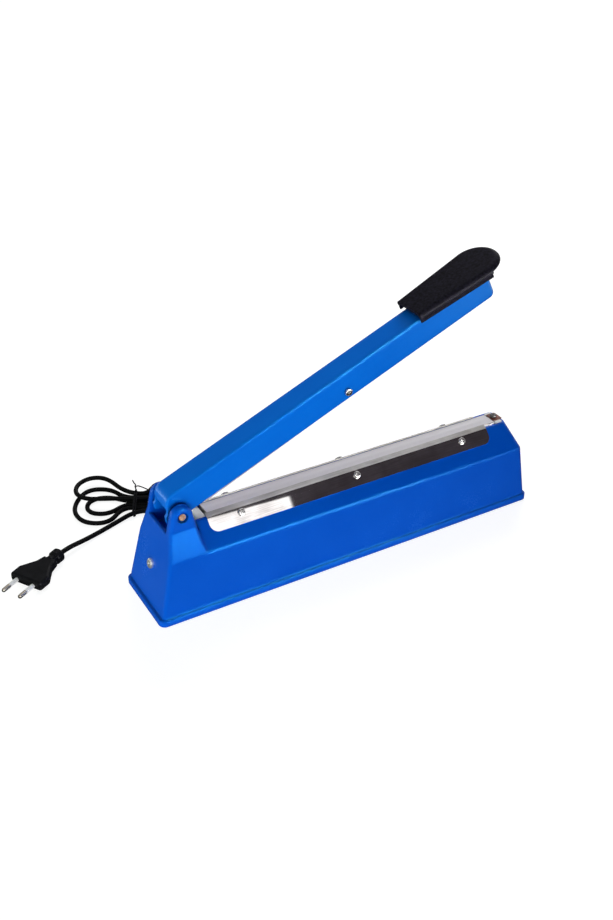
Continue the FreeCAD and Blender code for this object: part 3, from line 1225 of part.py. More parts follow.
doc.recompute()
for item in doc.Objects:
    if "Invalid" in item.State or "Error" in item.State:
        raise RuntimeError(f"{item.Name} is {item.State}")
os.makedirs("parts", exist_ok=True)
for item in nodes:
    if item.Shape.isNull() or not item.Shape.isValid():
        raise RuntimeError(f"{item.Label} has no valid shape")
    item.Shape.exportStep(f"parts/{item.Label}.step")
    print(item.Label, len(item.Shape.Solids), round(item.Shape.Volume, 1))
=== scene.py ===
import bpy
import math
from mathutils import Matrix, Vector


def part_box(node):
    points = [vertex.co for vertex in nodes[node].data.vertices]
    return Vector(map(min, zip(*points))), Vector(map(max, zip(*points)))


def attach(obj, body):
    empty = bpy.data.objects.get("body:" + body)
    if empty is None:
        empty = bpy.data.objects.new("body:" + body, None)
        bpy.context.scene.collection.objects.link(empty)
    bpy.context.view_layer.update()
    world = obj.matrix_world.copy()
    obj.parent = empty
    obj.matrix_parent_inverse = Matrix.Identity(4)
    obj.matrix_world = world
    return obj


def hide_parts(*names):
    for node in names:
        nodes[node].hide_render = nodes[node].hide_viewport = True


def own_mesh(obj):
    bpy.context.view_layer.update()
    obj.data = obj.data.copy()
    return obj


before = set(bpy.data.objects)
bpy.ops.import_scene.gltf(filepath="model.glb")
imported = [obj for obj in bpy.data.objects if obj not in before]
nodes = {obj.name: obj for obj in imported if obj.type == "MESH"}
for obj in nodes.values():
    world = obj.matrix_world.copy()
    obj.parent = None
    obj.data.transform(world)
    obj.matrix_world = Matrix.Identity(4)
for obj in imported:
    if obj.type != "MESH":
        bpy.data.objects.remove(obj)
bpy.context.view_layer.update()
print("frame:", len(nodes), "nodes")

# Camera in front of the hinge end, looking down
cameraLook = {"place": (-0.4608, -0.7382, 0.6365), "tilt": 57.76, "turn": -30.05, "lens": 43.835, "sensor": 36}
cameraData = bpy.data.cameras.new("camera")
cameraData.sensor_fit = "VERTICAL"
cameraData.sensor_height = cameraLook["sensor"]
cameraData.lens = cameraLook["lens"]
camera = bpy.data.objects.new("camera", cameraData)
camera.location = cameraLook["place"]
camera.rotation_euler = (math.radians(cameraLook["tilt"]), 0, math.radians(cameraLook["turn"]))
bpy.context.scene.collection.objects.link(camera)
bpy.context.scene.camera = camera
bpy.context.scene.view_settings.view_transform = "Standard"


def mm(*sizes):
    return tuple(size / 1000 for size in sizes)


# Round wires and cords: steps between points, bevel steps of the section, order of the curve
lineLook = {"steps": 10, "bevel": 5, "order": 3}

# Mains cord: base lead, tied hank, then the run to the plug, in millimetres
cordLook = {"diameter": 0.0046, "length": 1.07, "exit": mm(-100, 60.6, 18.3)}
hankPlace = {"middle": (-145.5, 147.0), "turn": -28.1}
leadPoints = [
    (-100.0, 60.6, 18.3), (-100.0, 72.6, 19.5), (-99.3, 89.4, 15.6), (-98.9, 105.1, 11.7),
    (-103.7, 119.1, 9.5), (-111.1, 128.6, 8.7), (-122.6, 134.8, 8.7),
]
hankPoints = [
    (19.5, 0.0, 8.7), (6.5, 0.0, 8.7), (-10.5, 0.0, 8.7), (-31.5, 1.0, 8.0), (-50.1, 1.0, 8.0),
    (-62.0, 11.9, 7.6), (-62.0, 28.6, 7.6), (-50.5, 42.5, 6.6), (-33.0, 41.0, 6.6), (-13.0, 13.0, 8.4),
    (10.4, 5.6, 8.7), (17.1, 25.2, 8.2), (33.6, 25.2, 8.2), (41.6, 17.2, 3.4), (41.6, 5.1, 3.4),
    (33.3, -3.2, 2.8), (20.6, -3.2, 2.8), (6.9, -2.7, 3.3), (-10.2, -2.7, 3.3), (-24.3, -17.2, 2.4),
    (-40.2, -17.2, 2.4), (-48.0, -8.9, 2.4), (-48.0, 2.8, 2.4), (-39.0, 10.9, 2.4), (-24.2, 10.9, 2.4),
    (-8.8, 2.7, 3.3), (13.4, 2.7, 3.3), (22.0, 28.0, 2.4), (42.4, 28.0, 2.4), (50.4, 16.6, 2.4),
    (50.4, 1.8, 2.4), (38.9, -8.9, 2.4), (23.2, -8.9, 2.4), (7.8, -8.9, 3.3), (-13.0, -8.9, 3.3),
    (-22.5, -33.0, 2.4), (-46.6, -33.0, 2.4), (-60.0, -15.1, 2.4), (-60.0, 6.8, 2.4), (-50.9, 26.5, 2.4),
    (-28.1, 26.5, 2.4), (-11.9, 8.9, 3.3), (13.6, 8.9, 3.3), (13.8, 36.0, 2.4), (38.9, 36.0, 2.4),
    (58.0, 23.0, 2.4), (58.0, 0.3, 2.4), (41.2, -14.4, 2.4), (27.0, -14.4, 2.4), (21.0, -14.3, 3.0),
]
plugPoints = [
    (-145.2, 130.6, 3.2), (-157.1, 131.6, 3.3), (-175.3, 125.8, 2.6), (-194.8, 119.2, 2.4),
    (-213.2, 112.2, 3.7), (-231.6, 105.2, 6.2), (-241.0, 99.5, 6.8),
]


def inHank(right, back, height):
    turn = math.radians(hankPlace["turn"])
    x = hankPlace["middle"][0] + right * math.cos(turn) - back * math.sin(turn)
    y = hankPlace["middle"][1] + right * math.sin(turn) + back * math.cos(turn)
    return (x, y, height)


def lineOf(name, points, radius):
    curve = bpy.data.curves.new(name, "CURVE")
    curve.dimensions = "3D"
    curve.resolution_u = lineLook["steps"]
    curve.bevel_depth = radius
    curve.bevel_resolution = lineLook["bevel"]
    curve.use_fill_caps = True
    spline = curve.splines.new("NURBS")
    spline.points.add(len(points) - 1)
    for point, spot in zip(spline.points, points):
        point.co = (*mm(*spot), 1)
    spline.order_u = lineLook["order"]
    spline.use_endpoint_u = True
    line = bpy.data.objects.new(name, curve)
    bpy.context.scene.collection.objects.link(line)
    return line


cordPoints = leadPoints + [inHank(*spot) for spot in hankPoints] + plugPoints
mainsCord = lineOf("mains_cord", cordPoints, cordLook["diameter"] / 2)
print("cord:", len(cordPoints), "points")


# Shader maths on sockets
class Wire:
    def __init__(self, tree, socket=None):
        self.tree = tree
        self.socket = socket

    def node(self, kind, settings=None, sockets=None, output=0):
        item = self.tree.nodes.new(kind)
        for name, setting in (settings or {}).items():
            setattr(item, name, setting)
        for name, given in (sockets or {}).items():
            if isinstance(given, Wire):
                self.tree.links.new(given.socket, item.inputs[name])
            else:
                item.inputs[name].default_value = given
        return Wire(self.tree, item.outputs[output] if item.outputs else None)

    def math(self, operation, first, second=0.0):
        return self.node("ShaderNodeMath", {"operation": operation}, {0: first, 1: second})

    def __add__(self, other):
        return self.math("ADD", self, other)

    def __radd__(self, other):
        return self.math("ADD", other, self)

    def __sub__(self, other):
        return self.math("SUBTRACT", self, other)

    def __rsub__(self, other):
        return self.math("SUBTRACT", other, self)

    def __mul__(self, other):
        return self.math("MULTIPLY", self, other)

    def __rmul__(self, other):
        return self.math("MULTIPLY", other, self)

    def step(self, low, high):
        ends = {"From Min": low, "From Max": high, "Value": self}
        return self.node("ShaderNodeMapRange", {"interpolation_type": "SMOOTHSTEP", "clamp": True}, ends)

    def shades(self, first, second):
        first, second = [shade if isinstance(shade, Wire) else (*shade, 1) for shade in (first, second)]
        ends = {0: self, 6: first, 7: second}  # the Mix node's colour sockets
        return self.node("ShaderNodeMix", {"data_type": "RGBA"}, ends, 2)


edgeSamples = 4  # rays that round off an edge
noiseDetail = {"soft": 2.0, "even": 3.0, "fine": 4.0}


# A material on the piece's own coordinates
class Finish:
    def __init__(self, name, **constants):
        self.material = bpy.data.materials.new(name)
        self.material.use_nodes = True
        self.tree = self.material.node_tree
        self.shader = self.tree.nodes["Principled BSDF"]
        for name, given in constants.items():
            self.shader.inputs[name.replace("_", " ")].default_value = given
        self.wire = Wire(self.tree)
        self.spot = self.wire.node("ShaderNodeTexCoord", output="Object")

    def feed(self, name, wire):
        self.tree.links.new(wire.socket, self.shader.inputs[name])

    def noise(self, size, detail, stretch=None):
        spot = self.spot
        if stretch:
            spot = self.wire.node("ShaderNodeMapping", sockets={"Vector": spot, "Scale": stretch})
        sockets = {"Vector": spot, "Scale": 1 / size, "Detail": noiseDetail[detail]}
        return self.wire.node("ShaderNodeTexNoise", sockets=sockets)

    def axis(self, name):
        return self.wire.node("ShaderNodeSeparateXYZ", sockets={"Vector": self.spot}, output=name)

    def bump(self, height, depth, edge=0.0):
        sockets = {"Height": height, "Distance": depth, "Strength": 1.0}
        if edge:
            sockets["Normal"] = self.wire.node("ShaderNodeBevel", {"samples": edgeSamples}, {"Radius": edge})
        self.feed("Normal", self.wire.node("ShaderNodeBump", sockets=sockets))


# How clouds and fine grain mix on every moulded piece and every bare metal, and how the painted shade in corners is
# sampled and blended
mouldedMix = {
    "cloud": 0.7, "grain": 0.3, "edges": (0.25, 0.75), "roughGrain": 0.5, "corner": (0.2, 0.8), "samples": 6}
metalMix = {"cloud": 0.6, "lines": 0.4, "edges": (0.3, 0.7), "dull": 0.45}


def moulded(name, look):
    finish = Finish(name, Specular_IOR_Level=look["gloss"], Specular_Tint=look.get("sheen", (1, 1, 1, 1)))
    cloud = finish.noise(look["cloud"], "soft")
    grain = finish.noise(look["grain"], "fine")
    mixed = cloud * mouldedMix["cloud"] + grain * mouldedMix["grain"]
    shade = mixed.step(*mouldedMix["edges"]).shades(look["dark"], look["light"])
    # painted shade: ambient occlusion darkens corners, recesses and gaps toward a dark colour
    if "paintedShadeReach" in look:  # corners fall off to the deep colour
        settings = {"samples": mouldedMix["samples"], "only_local": look["own"]}
        corner = finish.wire.node("ShaderNodeAmbientOcclusion", settings, {"Distance": look["paintedShadeReach"]}, "AO")
        shade = corner.step(*mouldedMix["corner"]).shades(look["paintedShade"], shade)
    finish.feed("Base Color", shade)
    fine = grain * look["roughSpread"] * mouldedMix["roughGrain"] + look["rough"]
    finish.feed("Roughness", cloud * look["roughSpread"] + fine)
    finish.bump(grain, look["depth"], look.get("edge", 0.0))
    return finish.material


def bareMetal(name, look):
    finish = Finish(name, Metallic=look.get("metal", 1.0))
    lines = finish.noise(look["line"], "fine", look["stretch"])
    cloud = finish.noise(look["cloud"], "even")
    mixed = cloud * metalMix["cloud"] + lines * metalMix["lines"]
    finish.feed("Base Color", mixed.step(*metalMix["edges"]).shades(look["dark"], look["light"]))
    rough = lines * look["roughSpread"] + (cloud * look["roughSpread"] + look["rough"])
    if "worn" in look:  # the bent lip is rubbed dull
        lip = finish.axis("Z").step(*look["lip"])
        finish.feed("Metallic", 1 - lip * look["worn"])
        rough = rough + lip * metalMix["dull"]
    finish.feed("Roughness", rough)
    finish.bump(lines, look["depth"])
    return finish.material


# the housing's darkest colour and its reach paint shade into the housing's own corners and recesses
blueShell = moulded("blue_shell", {
    "dark": (0.0003, 0.087, 0.63), "light": (0.0006, 0.101, 0.69), "paintedShade": (0.0001, 0.006, 0.04), "paintedShadeReach": 0.012,
    "own": True, "cloud": 0.05, "grain": 0.0011, "rough": 0.16, "roughSpread": 0.12, "depth": 0.000008, "gloss": 0.37,
    "sheen": (0.05, 0.62, 1.0, 1), "edge": 0.004})
# the arm wears a lighter, more cyan copy of the housing's blue, painted light for the brighter light falling on the
# arm; its darkest colour and reach paint shade into its corners and where other pieces come close
armBlueLit = moulded("arm_blue_lit", {
    "dark": (0.0003, 0.143, 0.75), "light": (0.0006, 0.163, 0.81), "paintedShade": (0.0001, 0.006, 0.04), "paintedShadeReach": 0.010,
    "own": False, "cloud": 0.05, "grain": 0.0011, "rough": 0.13, "roughSpread": 0.1, "depth": 0.000006, "gloss": 0.52,
    "sheen": (0.08, 0.68, 1.0, 1), "edge": 0.003})
softGrip = moulded("soft_grip", {
    "dark": (0.0004, 0.0004, 0.001), "light": (0.016, 0.014, 0.025), "cloud": 0.0024, "grain": 0.00055, "rough": 0.34,
    "roughSpread": 0.18, "depth": 0.00005, "gloss": 0.065, "edge": 0.0008})
blackPlastic = moulded("black_plastic", {
    "dark": (0.003, 0.003, 0.004), "light": (0.008, 0.008, 0.010), "cloud": 0.006, "grain": 0.0005, "rough": 0.32,
    "roughSpread": 0.14, "depth": 0.00002, "gloss": 0.09, "edge": 0.0003})
cordSkin = moulded("cord_skin", {
    "dark": (0.0015, 0.0015, 0.0015), "light": (0.004, 0.004, 0.004), "cloud": 0.008, "grain": 0.0006, "rough": 0.4,
    "roughSpread": 0.14, "depth": 0.00001, "gloss": 0.1})
whiteNylon = moulded("white_nylon", {
    "dark": (0.84, 0.85, 0.86), "light": (0.90, 0.90, 0.91), "cloud": 0.005, "grain": 0.0006, "rough": 0.35,
    "roughSpread": 0.12, "depth": 0.00001, "gloss": 0.4, "edge": 0.0003})
dialInk = moulded("dial_ink", {
    "dark": (0.70, 0.71, 0.72), "light": (0.78, 0.79, 0.80), "cloud": 0.003, "grain": 0.0004, "rough": 0.5,
    "roughSpread": 0.1, "depth": 0.000004, "gloss": 0.3})
brownBlock = moulded("brown_block", {
    "dark": (0.12, 0.030, 0.020), "light": (0.20, 0.055, 0.035), "cloud": 0.004, "grain": 0.0005, "rough": 0.35,
    "roughSpread": 0.15, "depth": 0.00002, "gloss": 0.5, "edge": 0.0003})
siliconeRubber = moulded("silicone_rubber", {
    "dark": (0.46, 0.44, 0.49), "light": (0.56, 0.54, 0.60), "cloud": 0.02, "grain": 0.0008, "rough": 0.42,
    "roughSpread": 0.14, "depth": 0.00003, "gloss": 0.4, "edge": 0.0003})
footRubber = moulded("foot_rubber", {
    "dark": (0.016, 0.016, 0.017), "light": (0.028, 0.028, 0.028), "cloud": 0.004, "grain": 0.0004, "rough": 0.6,
    "roughSpread": 0.15, "depth": 0.00004, "gloss": 0.3})
coilTape = moulded("coil_tape", {
    "dark": (0.55, 0.34, 0.05), "light": (0.70, 0.46, 0.09), "cloud": 0.01, "grain": 0.0009, "rough": 0.35,
    "roughSpread": 0.15, "depth": 0.00004, "gloss": 0.5})
relayCase = moulded("relay_case", {
    "dark": (0.02, 0.05, 0.16), "light": (0.03, 0.07, 0.20), "cloud": 0.006, "grain": 0.0006, "rough": 0.3,
    "roughSpread": 0.1, "depth": 0.00001, "gloss": 0.5})
terminalGreen = moulded("terminal_green", {
    "dark": (0.02, 0.16, 0.06), "light": (0.03, 0.22, 0.09), "cloud": 0.006, "grain": 0.0006, "rough": 0.35,
    "roughSpread": 0.1, "depth": 0.00001, "gloss": 0.5})
plateLook = {
    "dark": (0.42, 0.39, 0.38), "light": (0.74, 0.72, 0.72), "line": 0.0006, "stretch": (0.03, 1.0, 1.0),
    "cloud": 0.03, "rough": 0.004, "roughSpread": 0.01, "depth": 0.00000003, "lip": (0.0803, 0.0807)}
mirrorSteel = bareMetal("mirror_steel", {**plateLook, "worn": 0.6})
rearSteel = bareMetal("rear_steel", {**plateLook, "worn": 1.0})
nickelScrew = bareMetal("nickel_screw", {
    "dark": (0.55, 0.54, 0.53), "light": (0.72, 0.71, 0.70), "line": 0.0009, "stretch": (1.0, 1.0, 1.0),
    "cloud": 0.003, "rough": 0.16, "roughSpread": 0.1, "depth": 0.000006})
zincScrew = bareMetal("zinc_screw", {
    "dark": (0.80, 0.80, 0.82), "light": (0.94, 0.94, 0.96), "line": 0.0009, "stretch": (1.0, 1.0, 1.0), "metal": 0.8,
    "cloud": 0.003, "rough": 0.2, "roughSpread": 0.1, "depth": 0.000006})
darkScrew = bareMetal("dark_screw", {
    "dark": (0.07, 0.07, 0.075), "light": (0.16, 0.155, 0.15), "line": 0.0009, "stretch": (1.0, 1.0, 1.0),
    "cloud": 0.003, "rough": 0.3, "roughSpread": 0.12, "depth": 0.000006})
copperPin = bareMetal("copper_pin", {
    "dark": (0.30, 0.16, 0.10), "light": (0.66, 0.42, 0.31), "line": 0.0008, "stretch": (1.0, 1.0, 1.0),
    "cloud": 0.0022, "rough": 0.28, "roughSpread": 0.2, "depth": 0.00002})
bareAluminium = bareMetal("bare_aluminium", {
    "dark": (0.58, 0.58, 0.60), "light": (0.72, 0.72, 0.74), "line": 0.0007, "stretch": (0.05, 1.0, 1.0),
    "cloud": 0.02, "rough": 0.26, "roughSpread": 0.16, "depth": 0.00001})
ribbonAlloy = bareMetal("ribbon_alloy", {
    "dark": (0.30, 0.28, 0.27), "light": (0.46, 0.44, 0.42), "line": 0.0005, "stretch": (0.05, 1.0, 1.0),
    "cloud": 0.01, "rough": 0.3, "roughSpread": 0.15, "depth": 0.000006})
springWire = bareMetal("spring_wire", {
    "dark": (0.40, 0.40, 0.42), "light": (0.58, 0.58, 0.60), "line": 0.0008, "stretch": (1.0, 1.0, 1.0),
    "cloud": 0.004, "rough": 0.25, "roughSpread": 0.12, "depth": 0.000006})
zincSheet = bareMetal("zinc_sheet", {
    "dark": (0.42, 0.44, 0.45), "light": (0.62, 0.64, 0.65), "line": 0.0012, "stretch": (0.2, 1.0, 1.0),
    "cloud": 0.012, "rough": 0.34, "roughSpread": 0.14, "depth": 0.00001})
prongNickel = bareMetal("prong_nickel", {
    "dark": (0.52, 0.45, 0.36), "light": (0.74, 0.68, 0.58), "line": 0.0007, "stretch": (1.0, 1.0, 1.0),
    "cloud": 0.004, "rough": 0.2, "roughSpread": 0.12, "depth": 0.000006})


def laminatedCore():
    look = {"sheet": 0.0005, "near": (0.05, 0.3), "far": (0.75, 0.98), "edgeShare": 0.7, "rust": 0.006,
            "rustShare": 0.3, "metal": 0.8, "rough": 0.4, "roughSpread": 0.3, "depth": 0.00004,
            "dark": (0.05, 0.05, 0.055), "light": (0.16, 0.155, 0.15)}
    finish = Finish("laminated_core", Metallic=look["metal"])
    rows = finish.axis("Y") * (1 / look["sheet"])
    sheets = rows.math("FRACT", rows)
    edge = sheets.step(*look["near"]) * (1 - sheets.step(*look["far"]))
    rust = finish.noise(look["rust"], "fine")
    mixed = edge * look["edgeShare"] + rust * look["rustShare"]
    finish.feed("Base Color", mixed.shades(look["dark"], look["light"]))
    finish.feed("Roughness", rust * look["roughSpread"] + look["rough"])
    finish.bump(edge, look["depth"])
    return finish.material


def circuitBoard():
    look = {"track": 0.004, "shift": 0.5, "gap": 0.08, "gloss": 0.5, "rough": 0.3, "roughSpread": 0.15,
            "depth": 0.00003, "dark": (0.01, 0.07, 0.03), "light": (0.03, 0.16, 0.07)}
    finish = Finish("circuit_board", Specular_IOR_Level=look["gloss"])
    tracks = finish.wire.node("ShaderNodeTexBrick", {"offset": look["shift"]}, {
        "Vector": finish.spot, "Scale": 1 / look["track"], "Mortar Size": look["gap"]}, 1)
    finish.feed("Base Color", tracks.shades(look["dark"], look["light"]))
    finish.feed("Roughness", tracks * look["roughSpread"] + look["rough"])
    finish.bump(tracks, look["depth"])
    return finish.material


def lampLens():
    look = {"rib": 0.0007, "cloud": 0.004, "gloss": 0.6, "rough": 0.1, "roughSpread": 0.1, "depth": 0.00003,
            "dark": (0.30, 0.008, 0.008), "light": (0.62, 0.03, 0.02)}
    finish = Finish("lamp_lens", Specular_IOR_Level=look["gloss"])
    ribs = finish.noise(look["rib"], "soft")
    cloud = finish.noise(look["cloud"], "soft")
    finish.feed("Base Color", cloud.shades(look["dark"], look["light"]))
    finish.feed("Roughness", cloud * look["roughSpread"] + look["rough"])
    finish.bump(ribs, look["depth"])
    return finish.material


def wovenCloth():
    look = {"yarn": 0.00045, "weaveShare": 0.35, "smear": 0.03, "stretch": (0.25, 1.0, 1.0), "smearShare": 0.65,
            "edges": (0.2, 0.8), "gloss": 0.4, "rough": 0.28, "weaveRough": 0.12, "smearRough": 0.2, "depth": 0.00004,
            "dark": (0.76, 0.72, 0.78), "light": (0.90, 0.87, 0.92)}
    finish = Finish("woven_cloth", Specular_IOR_Level=look["gloss"])
    warp = finish.axis("X") * (math.pi / look["yarn"])
    weft = finish.axis("Y") * (math.pi / look["yarn"])
    weave = warp.math("SINE", warp) * weft.math("SINE", weft) * 0.5 + 0.5
    smear = finish.noise(look["smear"], "fine", look["stretch"])
    mixed = weave * look["weaveShare"] + smear * look["smearShare"]
    finish.feed("Base Color", mixed.step(*look["edges"]).shades(look["dark"], look["light"]))
    finish.feed("Roughness", weave * look["weaveRough"] + (smear * look["smearRough"] + look["rough"]))
    finish.bump(weave, look["depth"])
    return finish.material


laminated = laminatedCore()
board = circuitBoard()
lamp = lampLens()
cloth = wovenCloth()

# What each CAD piece wears
nodeFinish = {
    blueShell: ["base_housing"],
    armBlueLit: ["arm_channel"],
    softGrip: ["handle_grip"],
    blackPlastic: ["cord_strain_relief", "timer_knob", "micro_switch", "plug_body", "switch_push_rod",
                   "board_capacitors", "hinge_spacers", "pivot_spacers", "cord_tie"],
    mirrorSteel: ["front_clamp_plate"],
    rearSteel: ["rear_clamp_plate"],
    nickelScrew: ["front_clamp_screws", "rear_clamp_screws", "end_screw", "pivot_screw", "pivot_nut", "terminal_screw",
                  "bottom_screws", "grip_screws", "transformer_screws", "potentiometer_nut",
                  "board_standoffs", "actuator_stud", "knob_shaft"],
    copperPin: ["hinge_pin"],
    bareAluminium: ["seal_bar", "press_bar_holder"],
    cloth: ["sealing_cloth"],
    coilTape: ["insulating_tape", "transformer_coil"],
    ribbonAlloy: ["heating_ribbon"],
    whiteNylon: ["left_terminal_block", "right_terminal_block", "prong_sleeves"],
    brownBlock: ["terminal_washer"],
    siliconeRubber: ["silicone_strip"],
    springWire: ["return_spring"],
    zincSheet: ["bottom_plate", "switch_bracket", "transformer_strap", "timer_potentiometer"],
    footRubber: ["rubber_feet"],
    laminated: ["transformer_core"],
    board: ["timer_board"],
    relayCase: ["timer_relay"],
    terminalGreen: ["board_terminals"],
    lamp: ["pilot_lamp"],
    prongNickel: ["plug_prongs"],
    cordSkin: ["cord_hank", "cord_base_lead", "cord_plug_lead"],
}
for material, names in nodeFinish.items():
    for name in names:
        piece = nodes[name]
        if piece.material_slots:
            for slot in piece.material_slots:
                slot.material = material
        else:
            piece.data.materials.append(material)
print("finishes:", len(nodeFinish))

# Modelling helpers
tiny = 1e-6  # metres
smoothAngle = math.radians(32)


def fresh():
    bpy.ops.object.select_all(action="DESELECT")


def pick(*pieces):
    fresh()
    for piece in pieces:
        piece.select_set(True)
    bpy.context.view_layer.objects.active = pieces[0]


def choose(piece, kind, wanted):
    pick(piece)
    bpy.ops.object.mode_set(mode="EDIT")
    bpy.ops.mesh.select_mode(type=kind)
    bpy.ops.mesh.select_all(action="DESELECT")
    bpy.ops.object.mode_set(mode="OBJECT")
    spots = [vertex.co for vertex in piece.data.vertices]
    parts = piece.data.edges if kind == "EDGE" else piece.data.polygons
    for part in parts:
        part.select = wanted([spots[corner] for corner in part.vertices])
    bpy.ops.object.mode_set(mode="EDIT")


def done():
    bpy.ops.object.mode_set(mode="OBJECT")


def atHeight(level):
    return lambda spots: all(abs(spot.z - level) < tiny for spot in spots)


def disc(name, radius, low, high, sides):
    fresh()
    middle = (0, 0, (low + high) / 2)
    bpy.ops.mesh.primitive_cylinder_add(vertices=sides, radius=radius, depth=high - low, location=middle)
    piece = bpy.context.object
    piece.name = name
    bpy.ops.object.transform_apply(location=True, rotation=True, scale=True)
    return piece


def soften(piece, level, offset, segments):
    choose(piece, "EDGE", atHeight(level))
    bpy.ops.mesh.bevel(offset=offset, segments=segments, profile=0.5, affect="EDGES")
    done()


def carve(piece, cutter):
    cut = piece.modifiers.new("carve", "BOOLEAN")
    cut.object = cutter
    cut.operation = "DIFFERENCE"
    cut.solver = "EXACT"
    pick(piece)
    bpy.ops.object.modifier_apply(modifier="carve")
    bpy.data.objects.remove(cutter)


def together(name, pieces):
    pick(*pieces)
    bpy.ops.object.join()
    whole = bpy.context.view_layer.objects.active
    whole.name = name
    return whole


def copyAt(model, place):
    copy = model.copy()
    copy.data = model.data.copy()
    copy.data.transform(place)
    bpy.context.scene.collection.objects.link(copy)
    return copy


def facing(spot, direction, spin):
    turn = Vector(direction).to_track_quat("Z", "Y").to_matrix().to_4x4()
    return Matrix.Translation(mm(*spot)) @ turn @ Matrix.Rotation(math.radians(spin), 4, "Z")


def placed(look):
    return facing(look["place"], look["facing"], look["spin"])


def dress(piece, material, body, slot, *stands):
    piece.data.materials.clear()
    piece.data.materials.append(material)
    if piece.type == "MESH":
        pick(piece)
        bpy.ops.object.shade_smooth_by_angle(angle=smoothAngle)
    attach(piece, body)
    if stands:
        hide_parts(*stands)
    return piece


# Cross-head screws, with the slot's size as shares of the head
headLook = {"sides": 48, "domeSteps": 6, "slotLength": 1.05, "slotWidth": 0.26, "slotTaper": (0.45, 0.7, 1)}


def crossScrew(name, look):
    head = disc(name, look["radius"], 0, look["height"], headLook["sides"])
    soften(head, look["height"], look["height"] * look["dome"], headLook["domeSteps"])
    choose(head, "FACE", atHeight(0))
    bpy.ops.mesh.inset(thickness=look["radius"] - look["neck"])
    bpy.ops.mesh.extrude_region_move(TRANSFORM_OT_translate={"value": (0, 0, -look["shank"])})
    done()
    slotSize = (look["radius"] * headLook["slotLength"], look["radius"] * headLook["slotWidth"], look["height"], 1)
    for turn in (0, 90):
        fresh()
        bpy.ops.mesh.primitive_cube_add(size=1)
        blade = bpy.context.object
        blade.data.transform(Matrix.Diagonal(slotSize))
        choose(blade, "FACE", lambda spots: all(spot.z < 0 for spot in spots))
        bpy.ops.transform.resize(value=headLook["slotTaper"])
        done()
        lift = Matrix.Translation((0, 0, look["height"]))
        blade.data.transform(lift @ Matrix.Rotation(math.radians(turn), 4, "Z"))
        carve(head, blade)
    return head


plateScrewLook = {
    "radius": 0.0034, "height": 0.0019, "dome": 0.62, "neck": 0.0015, "shank": 0.005,
    "spots": (-108.5, 10.5, 129.5), "out": 15.8, "level": 77.19, "lean": (0.714, 0.7), "spin": 25}
bottomScrewLook = {
    "radius": 0.0030, "height": 0.0016, "dome": 0.55, "neck": 0.0015, "shank": 0.011,
    "along": 165, "across": 31, "level": 2.0, "spin": 10}
endScrewLook = {
    "radius": 0.0047, "height": 0.0026, "dome": 0.6, "neck": 0.0023, "shank": 0.009,
    "place": (-189.476, 0, 42), "facing": (-0.976, 0, 0.217), "spin": 30}
pivotScrewLook = {
    "radius": 0.0036, "height": 0.0022, "dome": 0.6, "neck": 0.00195, "shank": 0.0333,
    "place": (-0.06, -14.65, 166.13), "facing": (0, -1, 0), "spin": 20}
terminalScrewLook = {
    "radius": 0.0032, "height": 0.0024, "dome": 0.35, "neck": 0.0015, "shank": 0.007,
    "place": (179.0, 0, 82.3), "facing": (0, 0, 1), "spin": 50}


def plateScrewPlace(along, side):
    look = plateScrewLook
    out, up = look["lean"]
    return facing((along, side * look["out"], look["level"]), (0, side * out, up), look["spin"] + along)


def bottomScrewPlace(along, across):
    look = bottomScrewLook
    return facing((along, across, look["level"]), (0, 0, -1), look["spin"] + along)


plateScrew = crossScrew("plate_screw_model", plateScrewLook)
for side, name in ((-1, "front"), (1, "rear")):
    copies = [copyAt(plateScrew, plateScrewPlace(along, side)) for along in plateScrewLook["spots"]]
    dress(together(f"{name}_plate_screws", copies), nickelScrew, "base", "screw_steel", f"{name}_clamp_screws")
bpy.data.objects.remove(plateScrew)

bottomScrew = crossScrew("bottom_screw_model", bottomScrewLook)
corners = [(x * bottomScrewLook["along"], y * bottomScrewLook["across"]) for x in (-1, 1) for y in (-1, 1)]
bottomScrews = [copyAt(bottomScrew, bottomScrewPlace(*corner)) for corner in corners]
dress(together("base_plate_screws", bottomScrews), nickelScrew, "base", "screw_steel", "bottom_screws")
bpy.data.objects.remove(bottomScrew)

endScrew = crossScrew("hinge_end_screw", endScrewLook)
endScrew.data.transform(placed(endScrewLook))
dress(endScrew, zincScrew, "base", "screw_steel", "end_screw")
pivotScrew = crossScrew("pivot_cross_screw", pivotScrewLook)
pivotScrew.data.transform(placed(pivotScrewLook))
dress(pivotScrew, nickelScrew, "arm", "screw_steel", "pivot_screw")

# Hexagon nut on the far end of the pivot screw
pivotNutLook = {
    "radius": 0.00404, "height": 0.003, "chamfer": 0.0004, "chamferSteps": 3, "bore": 0.00205, "boreSides": 32,
    "place": (-0.06, 14.65, 166.13), "facing": (0, 1, 0), "spin": 12}


def hexNut(name, look):
    nut = disc(name, look["radius"], 0, look["height"], 6)
    soften(nut, look["height"], look["chamfer"], look["chamferSteps"])
    carve(nut, disc("nut_bore", look["bore"], -look["height"], 2 * look["height"], look["boreSides"]))
    nut.data.transform(placed(look))
    return nut


dress(hexNut("pivot_hex_nut", pivotNutLook), nickelScrew, "arm", "screw_steel", "pivot_nut")
terminalScrew = crossScrew("terminal_cross_screw", terminalScrewLook)
terminalScrew.data.transform(placed(terminalScrewLook))
dress(terminalScrew, darkScrew, "base", "screw_steel", "terminal_screw")

# Fibre washer under the terminal screw
washerLook = {
    "low": 0.0814, "high": 0.0820, "length": 0.0105, "width": 0.0128, "middle": 0.1803, "corner": 0.0015,
    "cornerSteps": 4, "edge": 0.00015, "edgeSteps": 2}


